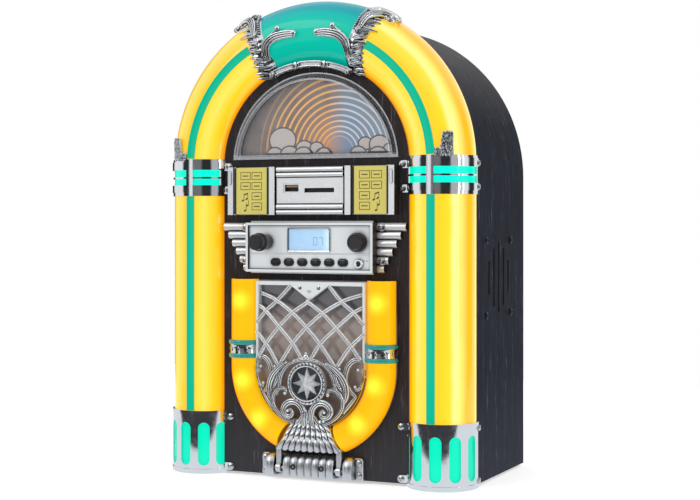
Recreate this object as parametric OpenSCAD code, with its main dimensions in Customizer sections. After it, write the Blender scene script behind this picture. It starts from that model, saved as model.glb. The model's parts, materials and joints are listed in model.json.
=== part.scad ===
// Table-top arch jukebox with a drop-down disc door, side speakers and lit plastic tubes.
// Millimetres, +Z up, the front faces -Y, origin on the floor at the middle of the overall footprint.
// q is used throughout for the distance in front of the front panel's face; negative q is inside the cabinet.

/* [Cabinet] */
// Width over the two side walls
cab_w = 261; // [260:0.5:262]
// Depth from the front panel's face to the rear edge
cab_d = 138; // [136:1:150]
// Height of the shell's arch centre above the floor
shell_arch_z = 243.5; // [242:0.5:244]
// Thickness of the bent shell
shell_t = 9; // [8.5:0.5:9.5]
// Thickness of the front panel
panel_t = 12; // [11.5:0.5:12]
// Height of the rubber feet
pad_h = 2; // [1.5:0.5:2.5]

/* [Light tubes] */
// Distance of each column's centre line from the middle
tube_x = 105.3; // [105.1:0.1:105.5]
// Outer radius of the tube section
tube_r = 26.2; // [26:0.1:26.3]
// Wall of the moulded tubes
tube_wall = 2.2; // [1.8:0.1:2.4]
// Height of the tube arch's centre above the floor
tube_arch_z = 252; // [251:0.5:252]
// Half angle of the crown lens at the top of the arch
crown_half = 25; // [24:0.5:26]
// Width of the raised stripe along the tubes
stripe_w = 6.8; // [6:0.2:7.4]

/* [Radio] */
// Half width of the radio fascia
fascia_x = 55.8; // [55.4:0.2:56]
// Distance between button centres
button_pitch = 11.83; // [11.5:0.01:12]
// Travel of each push button
button_travel = 1.2; // [0.8:0.1:1.2]
// Length of the volume knob in front of the fascia
volume_knob_l = 20.5; // [19:0.5:21]

/* [Disc door] */
// Outer half width of the curved door tubes
door_r = 72; // [71:0.5:72]
// Height of the disc axis and of the door's curve centre
disc_z = 90; // [89:0.5:90]
// Top of the door
door_top = 159.5; // [159:0.5:160]
// Radius of the disc opening in the front panel
bay_r = 61.5; // [61:0.5:62]
// Height of the door hinge axis above the floor
hinge_z = 9.5; // [9.3:0.1:9.7]
// Radial clearance of turning shafts
run_gap = 0.05; // [0.03:0.01:0.08]

/* [Hidden] */
$fn = 96;
gap = 0.1;                      // clearance between neighbouring fixed pieces
tube_set = 11.5;                // tube centre line behind the front face
side_wrap = 18.9;               // how far back the tubes wrap round the corner
fascia_q = 12;                  // front edge of the fascia's border
fascia_plate_q = 10;            // front face of the fascia's plate
knob_q = fascia_plate_q + 0.3;  // underside of the knobs
front_reach = knob_q + volume_knob_l;
front_y = -(cab_d - front_reach) / 2;
half_w = cab_w / 2;
inner_w = half_w - shell_t;
panel_w = 124;                  // half width of the front panel, hidden in the tubes
rebate_w = 127.9;               // half width of the shell's front edge, inside the tubes
rebate_q = 19;                  // depth at which the shell reaches full width
tube_y = front_y + tube_set;
door_plate_q = 0.4;             // back of the door panel when shut
door_plate_t = 2.4;
door_face = door_plate_q + door_plate_t + gap;
door_tube_r = 11.8;             // section radius of the door tubes
door_tube_x = door_r - door_tube_r;
door_tube_end = 65.5;           // angle below the horizontal at which the door tubes stop at the waist
hinge_q = 10;                   // hinge axis in front of the front face
dome_r = 200;                   // the lattice's bulge: sphere radius, its highest point and that point's height
dome_q = 15;
dome_z = 106;
hinge_pin_r = 1.5;
arm_x = 26.4;                   // middle of each door arm
arm_w = 4.6;
fascia_z = [166, 205.4];
button_z = 173.9;
button_size = [9, 6];
volume_x = -37.6;
tuning_x = 43;
knob_z = 190;
jack_at = [43.4, 173.1];
jack_bore_r = 1.8;
display_x = 18.5;
display_z = [182.5, 200.8];
selector_z = [211.7, 250.3];
usb_at = [-16.1, 233];
card_at = [8.4, 231.2];
window_c = 252.5;               // centre height of the half-round window
window_floor = 256.7;
speaker_d = 72.5;               // speaker axis behind the front face
speaker_z = 161.5;
speaker_slot_pitch = 12;
speaker_slot_w = 3.8;
speaker_slot_h = [27.4, 47.5, 56.9, 47.5, 27.4];
speaker_screw = [30.5, 29.7];
collar_z = [227.3, 257.3];
collar_lens_z = [236, 249];
foot_top = 51.5;
foot_slot_angles = [-56, -25, 8.5, 41, 75];
rear_q = 127;                   // depth of the rear panel's inner face
rear_t = 6;
rack_module = 0.8;
gear_teeth = 14;
gear_at = [40, 66];

// Trim screws on the front: x, z and the q of the face each head sits on. The left side mirrors these.
front_screws = [
    [76.8, 251, 1.3], [76.8, 232, 1.3], [75.5, 46.5, 1.3], [75.5, 5.8, 1.3],
    [60.3, 201.7, 4.4], [60.6, 175, 4.4], [41.3, 6.2, 5], [41.3, 16, 5], [33.2, 324.1, 8.2]
];
// Trim screws on the sides of the collars and feet: depth behind the front face and height.
side_screws = [[16.4, 251.6], [16.4, 233.2], [17, 46.5], [17, 5.7]];
// Distance of the rear screws from the middle
rear_screw_x = 122.9;
// Screws round the rear panel: x and z.
rear_screws = concat(
    [for (s = [-1, 1], z = [30, 100, 170, 235]) [s * rear_screw_x, z]],
    [for (a = [45, 90, 135]) [rear_screw_x * cos(a), shell_arch_z + rear_screw_x * sin(a)]],
    [for (x = [-60, 60]) [x, 6.5]]
);

// ---- placing helpers ----

// A front-view outline (x, z) becomes a plate from q0 out to q1.
module plate(q0, q1) translate([0, front_y - q0, 0]) rotate([90, 0, 0]) linear_extrude(q1 - q0) children();

// A plan outline (x, q) becomes a column from z0 up to z1.
module upright(z0, z1) translate([0, front_y, z0]) mirror([0, 1, 0]) linear_extrude(z1 - z0) children();

// A radial outline (r, q) is swept about the arch centre from angle a0 to a1.
module swept(a0, a1, zc = tube_arch_z)
    translate([0, front_y, zc]) rotate([90, 0, 0]) rotate([0, 0, a0])
        rotate_extrude(angle = a1 - a0, $fn = 180) children();

// The same sweep mirrored downwards from the height zc, for angles 0 to a1.
module swept_down(a1, zc) translate([0, 0, 2 * zc]) mirror([0, 0, 1]) swept(0, a1, zc) children();

// A side-view outline (q, z) becomes a bar from x0 to x1.
module crossbar(x0, x1)
    translate([x0, front_y, 0]) mirror([0, 1, 0]) rotate([90, 0, 90]) linear_extrude(x1 - x0) children();

module peg(x, z, r, q0, q1) plate(q0, q1) translate([x, z]) circle(r);

module box(x, z, q) plate(q[0], q[1]) translate([x[0], z[0]]) square([x[1] - x[0], z[1] - z[0]]);

module on_side(s) mirror([s < 0 ? 1 : 0, 0, 0]) children();

module both_sides() for (s = [-1, 1]) on_side(s) children();

// ---- outlines ----

module ring(ro, ri) difference() {
    circle(ro);
    circle(ri);
}

module arch_outline(half, zc, z0) {
    translate([-half, z0]) square([2 * half, zc - z0]);
    translate([0, zc]) circle(half, $fn = 180);
}

module stadium(w, h) {
    long = max(w, h) - min(w, h);
    if (w > h) square([long, h], center = true);
    else square([w, long], center = true);
    for (s = [-0.5, 0.5]) translate(w > h ? [s * long, 0] : [0, s * long]) circle(min(w, h) / 2, $fn = 48);
}

module rounded(w, h, r) {
    square([w - 2 * r, h], center = true);
    square([w, h - 2 * r], center = true);
    for (x = [-1, 1], z = [-1, 1]) translate([x * (w / 2 - r), z * (h / 2 - r)]) circle(r, $fn = 48);
}

// Section through one corner tube: a ring kept in front of the panel and round to the side wall.
module tube_section(ro, ri) intersection() {
    translate([tube_x, -tube_set]) ring(ro, ri);
    union() {
        translate([tube_x - 40, gap]) square([80, 40]);
        translate([tube_x, -side_wrap]) square([40, 60]);
    }
}

module tube_wall_section() tube_section(tube_r, tube_r - tube_wall);

module half_window(r, floor_z) intersection() {
    translate([0, window_c]) circle(r, $fn = 180);
    translate([-r, floor_z]) square([2 * r, r + 10]);
}

module door_outline(r, z_top, z_low) intersection() {
    union() {
        translate([-r, disc_z]) square([2 * r, z_top - disc_z]);
        translate([0, disc_z]) circle(r, $fn = 180);
    }
    translate([-r, z_low]) square([2 * r, z_top - z_low]);
}

// ---- fasteners ----

module front_screw_holes() both_sides() for (s = front_screws) peg(s[0], s[1], 1.35, -8, s[2] + 1);

module at_side_screws() for (s = side_screws) translate([0, front_y + s[0], s[1]]) rotate([0, 90, 0]) children();

module side_screw_holes() at_side_screws() translate([0, 0, 130]) cylinder(h = 6, r = 1.15, $fn = 32);

module at_speaker_screws() for (y = [-1, 1], z = [-1, 1])
    translate([0, front_y + speaker_d + y * speaker_screw[0], speaker_z + z * speaker_screw[1]])
        rotate([0, 90, 0]) children();

module speaker_screw_holes() at_speaker_screws() translate([0, 0, inner_w - 8])
    cylinder(h = 30, r = 1.65, $fn = 32);

module screws() color("silver") {
    both_sides() {
        for (s = front_screws) {
            peg(s[0], s[1], 2.6, s[2] + gap, s[2] + 1.4);
            peg(s[0], s[1], 1.2, -7, s[2] + 1);
        }
        at_side_screws() {
            translate([0, 0, 133.4]) cylinder(h = 1, r = 2.4, $fn = 48);
            translate([0, 0, 131.9]) cylinder(h = 2, r = 1, $fn = 32);
        }
        at_speaker_screws() {
            translate([0, 0, half_w + gap]) cylinder(h = 1.6, r = 2.8, $fn = 48);
            translate([0, 0, inner_w - 6]) cylinder(h = shell_t + 7, r = 1.5, $fn = 32);
        }
    }
    for (s = rear_screws) {
        peg(s[0], s[1], 2.4, -rear_q - rear_t - 1.6, -rear_q - rear_t - gap);
        peg(s[0], s[1], 1.2, -rear_q - rear_t - 0.5, -rear_q + 8);
    }
}

// ---- cabinet ----

module speaker_slots() for (i = [0:4])
    translate([inner_w - 1, front_y + speaker_d + (i - 2) * speaker_slot_pitch, speaker_z])
        rotate([90, 0, 90]) linear_extrude(shell_t + 4) stadium(speaker_slot_w, speaker_slot_h[i]);

module cabinet_shell() color("#17171c") difference() {
    union() {
        plate(-rebate_q, -panel_t - gap) arch_outline(rebate_w, tube_arch_z, pad_h);
        plate(-cab_d, -rebate_q) arch_outline(half_w, shell_arch_z, pad_h);
    }
    plate(-cab_d - 1, 0) arch_outline(inner_w, shell_arch_z, -1);
    plate(-cab_d - 1, -rear_q) arch_outline(125.5, shell_arch_z, -1);
    both_sides() {
        speaker_slots();
        speaker_screw_holes();
    }
    for (s = rear_screws) peg(s[0], s[1], 1.3, -rear_q - 1, -rear_q + 9);
}

module front_panel() color("#17171c") difference() {
    plate(-panel_t, 0) arch_outline(panel_w, tube_arch_z, pad_h);
    peg(0, disc_z, bay_r, -panel_t - 1, 1);
    box([-52, 52], [168, 203], [-panel_t - 1, 1]);
    box([-29, 29], [225, 240], [-panel_t - 1, 1]);
    box([-5, 5], [152.8, 158.8], [-panel_t - 1, 1]);
    plate(-panel_t - 1, 1) half_window(68, 260);
    front_screw_holes();
}

module rear_panel() color("#1c1b1b") difference() {
    plate(-rear_q - rear_t, -rear_q - gap) arch_outline(125.3, shell_arch_z, pad_h + 0.3);
    box([22, 98], [44, 76], [-rear_q - rear_t - 1, -rear_q + 1]);
    for (s = rear_screws) peg(s[0], s[1], 1.3, -rear_q - rear_t - 1, -rear_q + 1);
}

module base_panel() color("#1c1b1b") difference() {
    box([-inner_w + gap, inner_w - gap], [pad_h, pad_h + 9], [-rear_q, -panel_t - gap]);
    for (s = rear_screws) peg(s[0], s[1], 1.3, -rear_q - 1, -rear_q + 9);
}

module rubber_feet() color("#222222") for (x = [-95, 95], d = [35, 115])
    translate([x, front_y + d, 0]) cylinder(h = pad_h - 0.05, r = 8);

// ---- corner tubes ----

module column_tube(s) color("#ffc61a") on_side(s) upright(foot_top - 2, collar_lens_z[0] - gap) tube_wall_section();

module arch_tube(s) color("#ffc61a") on_side(s) {
    upright(collar_lens_z[1] + gap, tube_arch_z) tube_wall_section();
    swept(0, 90 - crown_half - 0.1) tube_wall_section();
}

module stripe_section() intersection() {
    tube_section(tube_r + 1, tube_r + 0.05);
    translate([tube_x - stripe_w / 2, 0]) square([stripe_w, 40]);
}

module tube_stripes() color("#00b39b") both_sides() {
    upright(foot_top + gap, collar_z[0] - gap) stripe_section();
    swept(3.2, 90 - crown_half - 4) stripe_section();
}

module crown_lens() color("#00b39b") swept(90 - crown_half, 90 + crown_half) tube_wall_section();

module crown_ornament() color("#d9dde0") difference() {
    union() {
        swept(62.5, 117.5) translate([77.5, gap]) square([3.7, 8]);
        swept(57, 123) translate([77.7, gap]) square([3.2, 3.9]);
        both_sides() {
            swept(61.5, 69) tube_section(tube_r + 3, tube_r + 0.3);
            swept(68.5, 84) intersection() {
                tube_section(tube_r + 2.6, tube_r + 0.7);
                translate([99, 0]) square([6, 40]);
            }
            swept(57, 62) intersection() {
                tube_section(tube_r + 2.7, tube_r + 1.3);
                translate([114, 0]) square([16, 40]);
            }
        }
    }
    front_screw_holes();
}

module led_strips() color("#e8f4e0") {
    both_sides() upright(56, 235) translate([100, 0.2]) square([10, 1.6]);
    swept(2, 178) translate([100, 0.2]) square([10, 1.6]);
}

// ---- collars and feet ----

module ear(x, z) {
    peg(x, z, 3, gap, 1.2);
    box([x, 81.2], [z - 3, z + 3], [gap, 1.2]);
}

module collar_windows() for (z = [[236.1, 241.4], [242.9, 248.6]]) upright(z[0], z[1]) difference() {
    tube_section(tube_r + 3, tube_r);
    translate([tube_x - 3, 0]) square([6, 40]);
    translate([tube_x - 30, 0]) square([40, 4]);
    translate([tube_x + 20, -side_wrap]) square([20, 5]);
}

module collar(s) color("#d9dde0") on_side(s) difference() {
    union() {
        upright(collar_z[0], collar_z[1]) tube_section(tube_r + 1.1, tube_r + 0.3);
        upright(230.2, 236.1) tube_section(tube_r + 1.8, tube_r + 0.3);
        upright(248.6, 255.2) tube_section(tube_r + 1.8, tube_r + 0.3);
        upright(collar_z[0], collar_z[1]) intersection() {
            tube_section(tube_r + 2.2, tube_r + 0.3);
            translate([tube_x - 3, 0]) square([6, 40]);
        }
        upright(257, 262.6) intersection() {
            tube_section(tube_r + 2, tube_r + 0.6);
            translate([tube_x + 4.6, 0]) square([11.4, 40]);
        }
        upright(262, 274) intersection() {
            tube_section(tube_r + 2, tube_r + 0.6);
            translate([tube_x + 10, 0]) square([5.6, 40]);
        }
        ear(76.8, 251);
        ear(76.8, 232);
    }
    collar_windows();
    front_screw_holes();
    side_screw_holes();
}

module collar_lenses() color("#7fffe8") both_sides() upright(collar_lens_z[0], collar_lens_z[1]) tube_wall_section();

module foot_slots() for (a = foot_slot_angles)
    translate([tube_x, tube_y, 24.5]) rotate([0, 0, a]) translate([0, -tube_r + 4, 0])
        rotate([90, 0, 0]) linear_extrude(12) stadium(9.6, 35);

module foot(s) color("#d9dde0") on_side(s) difference() {
    union() {
        upright(0.5, foot_top) tube_section(tube_r + 1.5, tube_r + 0.3);
        upright(0.5, 4) tube_section(tube_r + 2, tube_r + 0.3);
        upright(foot_top - 3, foot_top) tube_section(tube_r + 2, tube_r + 0.3);
        ear(75.5, 46.5);
        ear(75.5, 5.8);
    }
    foot_slots();
    front_screw_holes();
    side_screw_holes();
}

module foot_lenses() color("#00c9ad") both_sides() upright(3, foot_top - 2.2) tube_wall_section();

// ---- window, selector row ----

module window_cover() color([0.9, 0.95, 1, 0.35]) difference() {
    union() {
        plate(gap, 1.2) half_window(73, window_floor);
        plate(1, 5.2) half_window(70, 259);
    }
    plate(0, 3.7) half_window(67.5, 261.5);
}

module artwork_panel() color("#b39a82") plate(-5, -3.4) half_window(67.8, 260.2);

module selector_frame() color("#c9ccd0") difference() {
    union() {
        box([-73.2, 73.2], selector_z, [gap, 5.8]);
        both_sides() {
            box([68.4, 73.2], selector_z, [5.6, 10]);
            box([66.5, 68.6], selector_z, [5.6, 8.8]);
            box([30.9, 35.9], selector_z, [5.6, 9.6]);
        }
    }
    box([-29, 29], [225, 240], [-1, 7]);
}

module title_card(s) color("#c8bb58") on_side(s)
    box([37, 66.4], [selector_z[0] + 0.5, selector_z[1] - 0.5], [5.9, 8.4]);

module port_plate() color("#c9ccd0") difference() {
    crossbar(-29.3, 29.3) {
        translate([6, 211.9]) square([2.6, 38.2]);
        for (ridge = [[248, 2], [243.8, 1.9], [218.2, 1.9], [213.9, 1.9]]) translate([8, ridge[0]]) circle(ridge[1]);
    }
    plate(0, 12) translate(usb_at) square([14, 7.4], center = true);
    plate(0, 12) translate(card_at) square([26, 3.6], center = true);
}

module socket(at, outer, inner, q0, q1) difference() {
    plate(q0, q1) translate(at) square(outer, center = true);
    plate(q0 + 1, q1 + 1) translate(at) square(inner, center = true);
}

module media_board() color("#1f6b3a") {
    box([-26, 26], [227.4, 229], [-42, -1]);
    socket(usb_at, [13.4, 6.4], [12.4, 5.6], -14, 7.4);
    box([-21.4, -10.8], [233.9, 235.5], [-13.5, 6.6]);
    box([-22, -10.2], [228.5, 230], [-14, -1]);
    socket(card_at, [28, 4.8], [25, 2.9], -24, 5.6);
    box([-8, 18], [212, 227.6], [-30, -27]);
}

// ---- radio ----

module at_buttons() for (i = [0:5]) translate([(i - 2.5) * button_pitch, button_z]) children();

module radio_fascia() color("#d5d8db") difference() {
    union() {
        box([-fascia_x, fascia_x], fascia_z, [gap, fascia_q]);
        box([-54, 54], [164.8, 206.8], [gap, 6]);
    }
    box([-53.8, 53.8], [168, 203.4], [0, fascia_plate_q - 2]);
    box([-53.8, 53.8], [168, 203.4], [fascia_plate_q, fascia_q + 1]);
    box([-display_x, display_x], display_z, [0, fascia_q]);
    plate(0, fascia_q) at_buttons() stadium(button_size[0] + 0.4, button_size[1] + 0.4);
    for (x = [volume_x, tuning_x]) peg(x, knob_z, 3.6, 0, fascia_q);
    peg(jack_at[0], jack_at[1], 3.9, 0, fascia_q);
}

wing_ends = [80.3, 76, 72.5, 69, 65.5, 62];

module wing(s) color("#c9ccd0") on_side(s) difference() {
    union() {
        ridge = (fascia_z[1] - fascia_z[0]) / 6;
        for (i = [0:5]) {
            z_mid = fascia_z[1] - (i + 0.5) * ridge;
            crossbar(fascia_x + gap, wing_ends[i]) intersection() {
                translate([0.9, z_mid]) circle(ridge / 2);
                translate([gap, z_mid - 4]) square([8, 8]);
            }
            box([fascia_x + gap, wing_ends[i]], [z_mid - ridge / 2, z_mid + ridge / 2 + 0.01], [gap, 1.2]);
        }
        for (s = [front_screws[4], front_screws[5]]) peg(s[0], s[1], 3, gap, s[2]);
    }
    front_screw_holes();
}

module display() color("#9fc3e6")
    box([-display_x + 0.2, display_x - 0.2], [display_z[0] + 0.2, display_z[1] - 0.2], [-6.3, 9.4]);

module control_board() color("#1f6b3a") difference() {
    union() {
        box([-51, 51], [168.5, 202.5], [-8, -6.4]);
        plate(-6.4, -3.4) at_buttons() square(6, center = true);
        plate(-3.4, -2.5) at_buttons() circle(1.7, $fn = 32);
        for (x = [volume_x, tuning_x]) {
            peg(x, knob_z, 7.4, -6.5, 0.5);
            peg(x, knob_z, 4.2, 0, 6.5);
        }
        peg(jack_at[0], jack_at[1], 3.7, -6.5, 11);
    }
    for (x = [volume_x, tuning_x]) peg(x, knob_z, 3 + run_gap, -3.3, 7);
    peg(jack_at[0], jack_at[1], jack_bore_r, -3, 12);
}

module volume_knob() color("#2b2c30") {
    peg(volume_x, knob_z, 6.1, knob_q, knob_q + 10.8);
    peg(volume_x, knob_z, 7.3, knob_q + 10.6, knob_q + 14.2);
    peg(volume_x, knob_z, 6.5, knob_q + 14, front_reach);
    peg(volume_x, knob_z, 3, -3, knob_q + 1);
}

module tuning_knob() color("#2b2c30") {
    peg(tuning_x, knob_z, 7.7, knob_q, knob_q + 5.2);
    peg(tuning_x, knob_z, 6.4, knob_q + 5, knob_q + 8);
    peg(tuning_x, knob_z, 3, -3, knob_q + 1);
}

module button(i) color("#33343a") translate([(i - 3.5) * button_pitch, 0, 0]) {
    plate(7.6, 11.5) translate([0, button_z]) stadium(button_size[0], button_size[1]);
    plate(6.4, 7.7) translate([0, button_z]) stadium(button_size[0] + 1.6, button_size[1] + 1.6);
    peg(0, button_z, 1.5, -2.4 + button_travel, 6.6);
}

// ---- disc door ----

module door_panel() color([0.25, 0.25, 0.28, 0.6]) {
    plate(door_plate_q, door_plate_q + door_plate_t) door_outline(door_r, door_top, 23);
    box([-3, 3], [154, 156.5], [-11, door_plate_q + 0.5]);
}

module door_tube_section(ro, ri) intersection() {
    translate([door_tube_x, door_face]) ring(ro, ri);
    translate([0, door_face]) square([200, 40]);
}

module door_tube(s) color("#ffb400") on_side(s) {
    upright(disc_z, door_top + 0.4) door_tube_section(door_tube_r, door_tube_r - 1.8);
    swept_down(door_tube_end, disc_z) door_tube_section(door_tube_r, door_tube_r - 1.8);
}

module door_ring_section(ro) intersection() {
    door_tube_section(ro, door_tube_r + 0.15);
    translate([48.35, 0]) square([40, 40]);
}

module tube_rings() color("#b8c4c4") both_sides() {
    upright(96.4, 110) door_ring_section(door_tube_r + 0.6);
    upright(100.4, 106.5) door_ring_section(door_tube_r + 1.4);
}

module door_led_strips() color("#e8f4e0") both_sides() {
    upright(disc_z, 155) translate([door_tube_x - 4, door_face + 0.1]) square([8, 1.4]);
    swept_down(60, disc_z) translate([door_tube_x - 4, door_face + 0.1]) square([8, 1.4]);
}

module grille_opening(r) door_outline(r, door_top - (48.2 - r) - 0.5, 44 + (48.2 - r));

// A smooth curve through the points p.
function spline(p, steps = 4) = concat([for (i = [0:len(p) - 2], k = [0:steps - 1])
    let (a = i > 0 ? p[i - 1] : 2 * p[0] - p[1], b = p[i], c = p[i + 1],
        d = i + 2 < len(p) ? p[i + 2] : 2 * p[i + 1] - p[i], t = k / steps)
    0.5 * (2 * b + (c - a) * t + (2 * a - 5 * b + 4 * c - d) * t * t + (3 * b - a - 3 * c + d) * t * t * t)],
    [p[len(p) - 1]]);

function side_of(p, i) = let (d = p[min(i + 1, len(p) - 1)] - p[max(i - 1, 0)]) [-d[1], d[0]] / norm(d);

// A strip of width w along the curve.
module strip(points, w) {
    p = spline(points);
    last = len(p) - 1;
    polygon(concat([for (i = [0:last]) p[i] + side_of(p, i) * w / 2],
        [for (i = [last:-1:0]) p[i] - side_of(p, i) * w / 2]));
}

// Lattice bars (x, z); the mirror image crosses them.
lattice_bars = [
    [[46.8, 149.3], [37.5, 146.6], [28.4, 143], [13.2, 133.8], [0, 122.4], [-12, 109.5], [-24.6, 91.5]],
    [[-1.5, 143.3], [13.2, 133.8], [25, 122.4], [37.3, 108.4], [46.8, 93.7]],
    [[47, 139.2], [38.6, 134.6], [25, 122.4], [12, 109.5], [3, 95.5]],
    [[47.2, 118], [37.3, 108.4], [31, 100], [24, 89]],
    [[15.5, 156.4], [28.4, 143], [38.6, 134.6], [47.2, 125]]
];

// The lattice bulges outwards as part of a sphere.
module lattice() intersection() {
    plate(4.5, 17) both_sides() for (bar = lattice_bars) strip(bar, 2.3);
    translate([0, front_y + dome_r - dome_q, dome_z]) difference() {
        sphere(dome_r, $fn = 360);
        sphere(dome_r - 2.2, $fn = 360);
    }
}

// Scrolls round the medallion (x, z) and the width of each.
scrolls = [
    [[[3.6, 45], [3.6, 52], [5, 58], [9, 62.2], [14.6, 63], [19.4, 60], [20.4, 55.4], [17.6, 52], [13.8, 52.4], [13, 55.6]], 2.8],
    [[[12.6, 45.6], [20, 49], [26.4, 54.4], [30, 60.6], [29.8, 67], [26.6, 71.8], [21.8, 73.2], [18.6, 71.4]], 3.2],
    [[[30, 61], [33.2, 68], [33.4, 76], [30, 84], [24, 90], [16, 94.4]], 3.8],
    [[[27, 68], [24.4, 76], [22.8, 84], [17.6, 91.2], [9, 96]], 3],
    [[[9.4, 45], [6, 50], [2, 56.5]], 3]
];
loops = [
    [[[47, 97.2], [40, 97.4], [35.2, 93], [32.8, 86], [33.2, 79.4], [36.2, 73.4], [41.4, 68.2]], 3.2],
    [[[41.8, 70], [36, 62.6], [30.2, 56]], 2.6]
];

module waist_outline(z0, z1) polygon([for (p = [[-1, z0], [1, z0], [1, z1], [-1, z1]])
    [p[0] * (14.2 + (46.5 - p[1]) * 0.655), p[1]]]);

module flutes(z0, z1, q, count) {
    half = 14.2 + (46.5 - z1) * 0.655 - 0.6;
    for (i = [0:count - 1]) upright(z0, z1) translate([(2 * i + 1 - count) * half / count, q]) circle(half / count - 0.12, $fn = 32);
}

module door_arm_section() difference() {
    union() {
        translate([7.5, hinge_z]) square([5, 16.9]);
        translate([hinge_q, hinge_z]) circle(3.6);
    }
    translate([hinge_q, hinge_z]) circle(hinge_pin_r + run_gap);
}

module star(long, short) polygon([for (i = [0:15]) (i % 2 == 0 ? long : short) * [sin(i * 22.5), cos(i * 22.5)]]);

module medallion() {
    peg(0, 78, 17, 8, 14.4);
    plate(14, 15.4) translate([0, 78]) ring(16.6, 12);
    plate(14, 16.3) translate([0, 78]) ring(12.9, 11.4);
    plate(14, 15.6) translate([0, 78]) star(10.9, 4.4);
    plate(15.2, 17) translate([0, 78]) star(6.4, 2.8);
    peg(0, 78, 1.2, 16, 17.8);
}

module door_grille() color("#d9dde0") {
    plate(4.5, 9) difference() {
        grille_opening(48.2);
        grille_opening(46);
    }
    lattice();
    plate(4.5, 9.4) polygon([[-16.8, door_top - 0.6], [-16.8, 156.4], [0, 143.6], [16.8, 156.4], [16.8, door_top - 0.6]]);
    plate(door_face, 5) for (s = [-1, 1], z = [100, 150]) translate([s * 46.9, z]) circle(1.1, $fn = 32);
    both_sides() {
        plate(9.5, 13.5) for (s = scrolls) strip(s[0], s[1]);
        plate(7, 10.6) for (s = loops) strip(s[0], s[1]);
    }
    peg(0, 99.4, 2.6, 11, 16);
    medallion();
    plate(door_face, 11) waist_outline(38, 47);
    plate(door_face, 11.6) waist_outline(31, 39);
    plate(door_face, 12) waist_outline(24.8, 32);
    flutes(38.4, 46.4, 10.6, 9);
    flutes(31.6, 38, 11, 8);
    flutes(25, 31.4, 11, 8);
    both_sides() crossbar(arm_x - arm_w / 2, arm_x + arm_w / 2) door_arm_section();
}

module hinge_bracket() color("#d9dde0") difference() {
    union() {
        box([-44.5, 44.5], [2.2, 20], [gap, 4.9]);
        box([-38, 38], [3.3, 19], [4, 12.2]);
        for (i = [-3:3]) upright(3.3, 19) translate([i * 6.28, 10.2]) circle(3);
        for (s = [-1, 1]) upright(3.3, 19) translate([s * 34.2, 10.2]) circle(3.6);
    }
    both_sides() {
        box([22.2, 30], [5.5, 25], [5.8, 15]);
        crossbar(18, 34.5) translate([hinge_q, hinge_z]) circle(hinge_pin_r + 0.02);
    }
    front_screw_holes();
}

module hinge_pins() color("silver") both_sides()
    crossbar(18.2, 34.3) translate([hinge_q, hinge_z]) circle(hinge_pin_r);

// ---- disc player ----

module cd_tray() color("#26262a") difference() {
    union() {
        box([-70, 70], [20, 160], [-15, -12.2]);
        box([-8, 8], [149, 161], [-26, -14]);
        peg(0, disc_z, 12.5, -30, -18);
        for (a = [90, 180, 270]) peg(20 * cos(a), disc_z + 20 * sin(a), 3, -30, -14);
        peg(0, disc_z, 22, -30, -28);
        for (z = [-12, 12], x = [[12.6, 16], [67, 70]])
            box(x, [disc_z + z - 1.8, disc_z + z + 1.8], [-23, -14]);
        peg(gear_at[0], gear_at[1], 8, -34, -24);
        for (x = [-9, 9]) peg(gear_at[0] + x, gear_at[1] - 4, 2, -34, -14);
        box([gear_at[0] - 11, gear_at[0] + 11], [gear_at[1] - 7, gear_at[1] + 2], [-34, -30]);
        for (z = [-12, 12]) crossbar(13, 69) translate([-20, disc_z + z]) circle(1.5);
    }
    peg(0, disc_z, 16.5, -17.9, -12);
    peg(0, disc_z, 1 + run_gap, -27, -17);
    box([16.2, 66.8], [disc_z - 16, disc_z + 16], [-16, -12]);
    box([-4.2, 4.2], [152.6, 158.2], [-24, -12]);
    peg(gear_at[0], gear_at[1], 1 + run_gap, -32, -23);
}

module turntable() color("#3a3a40") {
    peg(0, disc_z, 14, -11.4, -9);
    peg(0, disc_z, 7.4, -9.2, -5);
    peg(0, disc_z, 3, -17, -11.2);
    peg(0, disc_z, 1, -26, -11);
}

rack_pitch = PI * rack_module;

module rack_tooth() polygon([[-0.66, 1], [-0.26, -0.6], [0.26, -0.6], [0.66, 1]]);

module laser_sled() color("#55565c") difference() {
    union() {
        box([17, 31], [disc_z - 15, disc_z + 15], [-24, -16.6]);
        peg(24, disc_z, 3, -17, -10.4);
        box([3, 43.5], [72.4, 76], [-22, -17]);
        plate(-22, -18) for (i = [-14:1]) translate([gear_at[0] + (i + 0.5) * rack_pitch, 71.6]) rack_tooth();
    }
    for (z = [-12, 12]) crossbar(10, 40) translate([-20, disc_z + z]) circle(1.5 + run_gap);
}

module gear_tooth() polygon([[3.9, -0.85], [6.15, -0.28], [6.15, 0.28], [3.9, 0.85]]);

module sled_gear() color("white") {
    plate(-22, -18) translate(gear_at) {
        circle(4.3);
        for (i = [0:gear_teeth - 1]) rotate(90 + i * 360 / gear_teeth) gear_tooth();
    }
    peg(gear_at[0], gear_at[1], 1, -31, -18);
}

module latch_plunger() color("#3a3a40") box([-3.9, 3.9], [153, 157.9], [-20, -11.4]);

// ---- speakers, boards, rear panel fittings ----

module about_speaker_axis() translate([0, front_y + speaker_d, speaker_z]) rotate([0, 90, 0]) children();

module speaker(s) color("#3c3c42") on_side(s) difference() {
    about_speaker_axis() {
        rotate_extrude() polygon([[0, 88], [23, 88], [23, 98], [35.8, 118.7], [33.8, 118.7], [21.5, 100], [0, 100]]);
        translate([0, 0, 118.6]) linear_extrude(inner_w - gap - 118.6) difference() {
            rounded(77, 77, 8);
            circle(33.5);
        }
    }
    speaker_screw_holes();
}

module cone(s) color("#1e1e20") on_side(s) about_speaker_axis() rotate_extrude()
    polygon([[0, 106], [11, 106], [32.6, 119.9], [33.2, 119.2], [12.2, 105], [12.2, 102],
        [10.8, 102], [10.8, 104.8], [0, 104.8]]);

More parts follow.
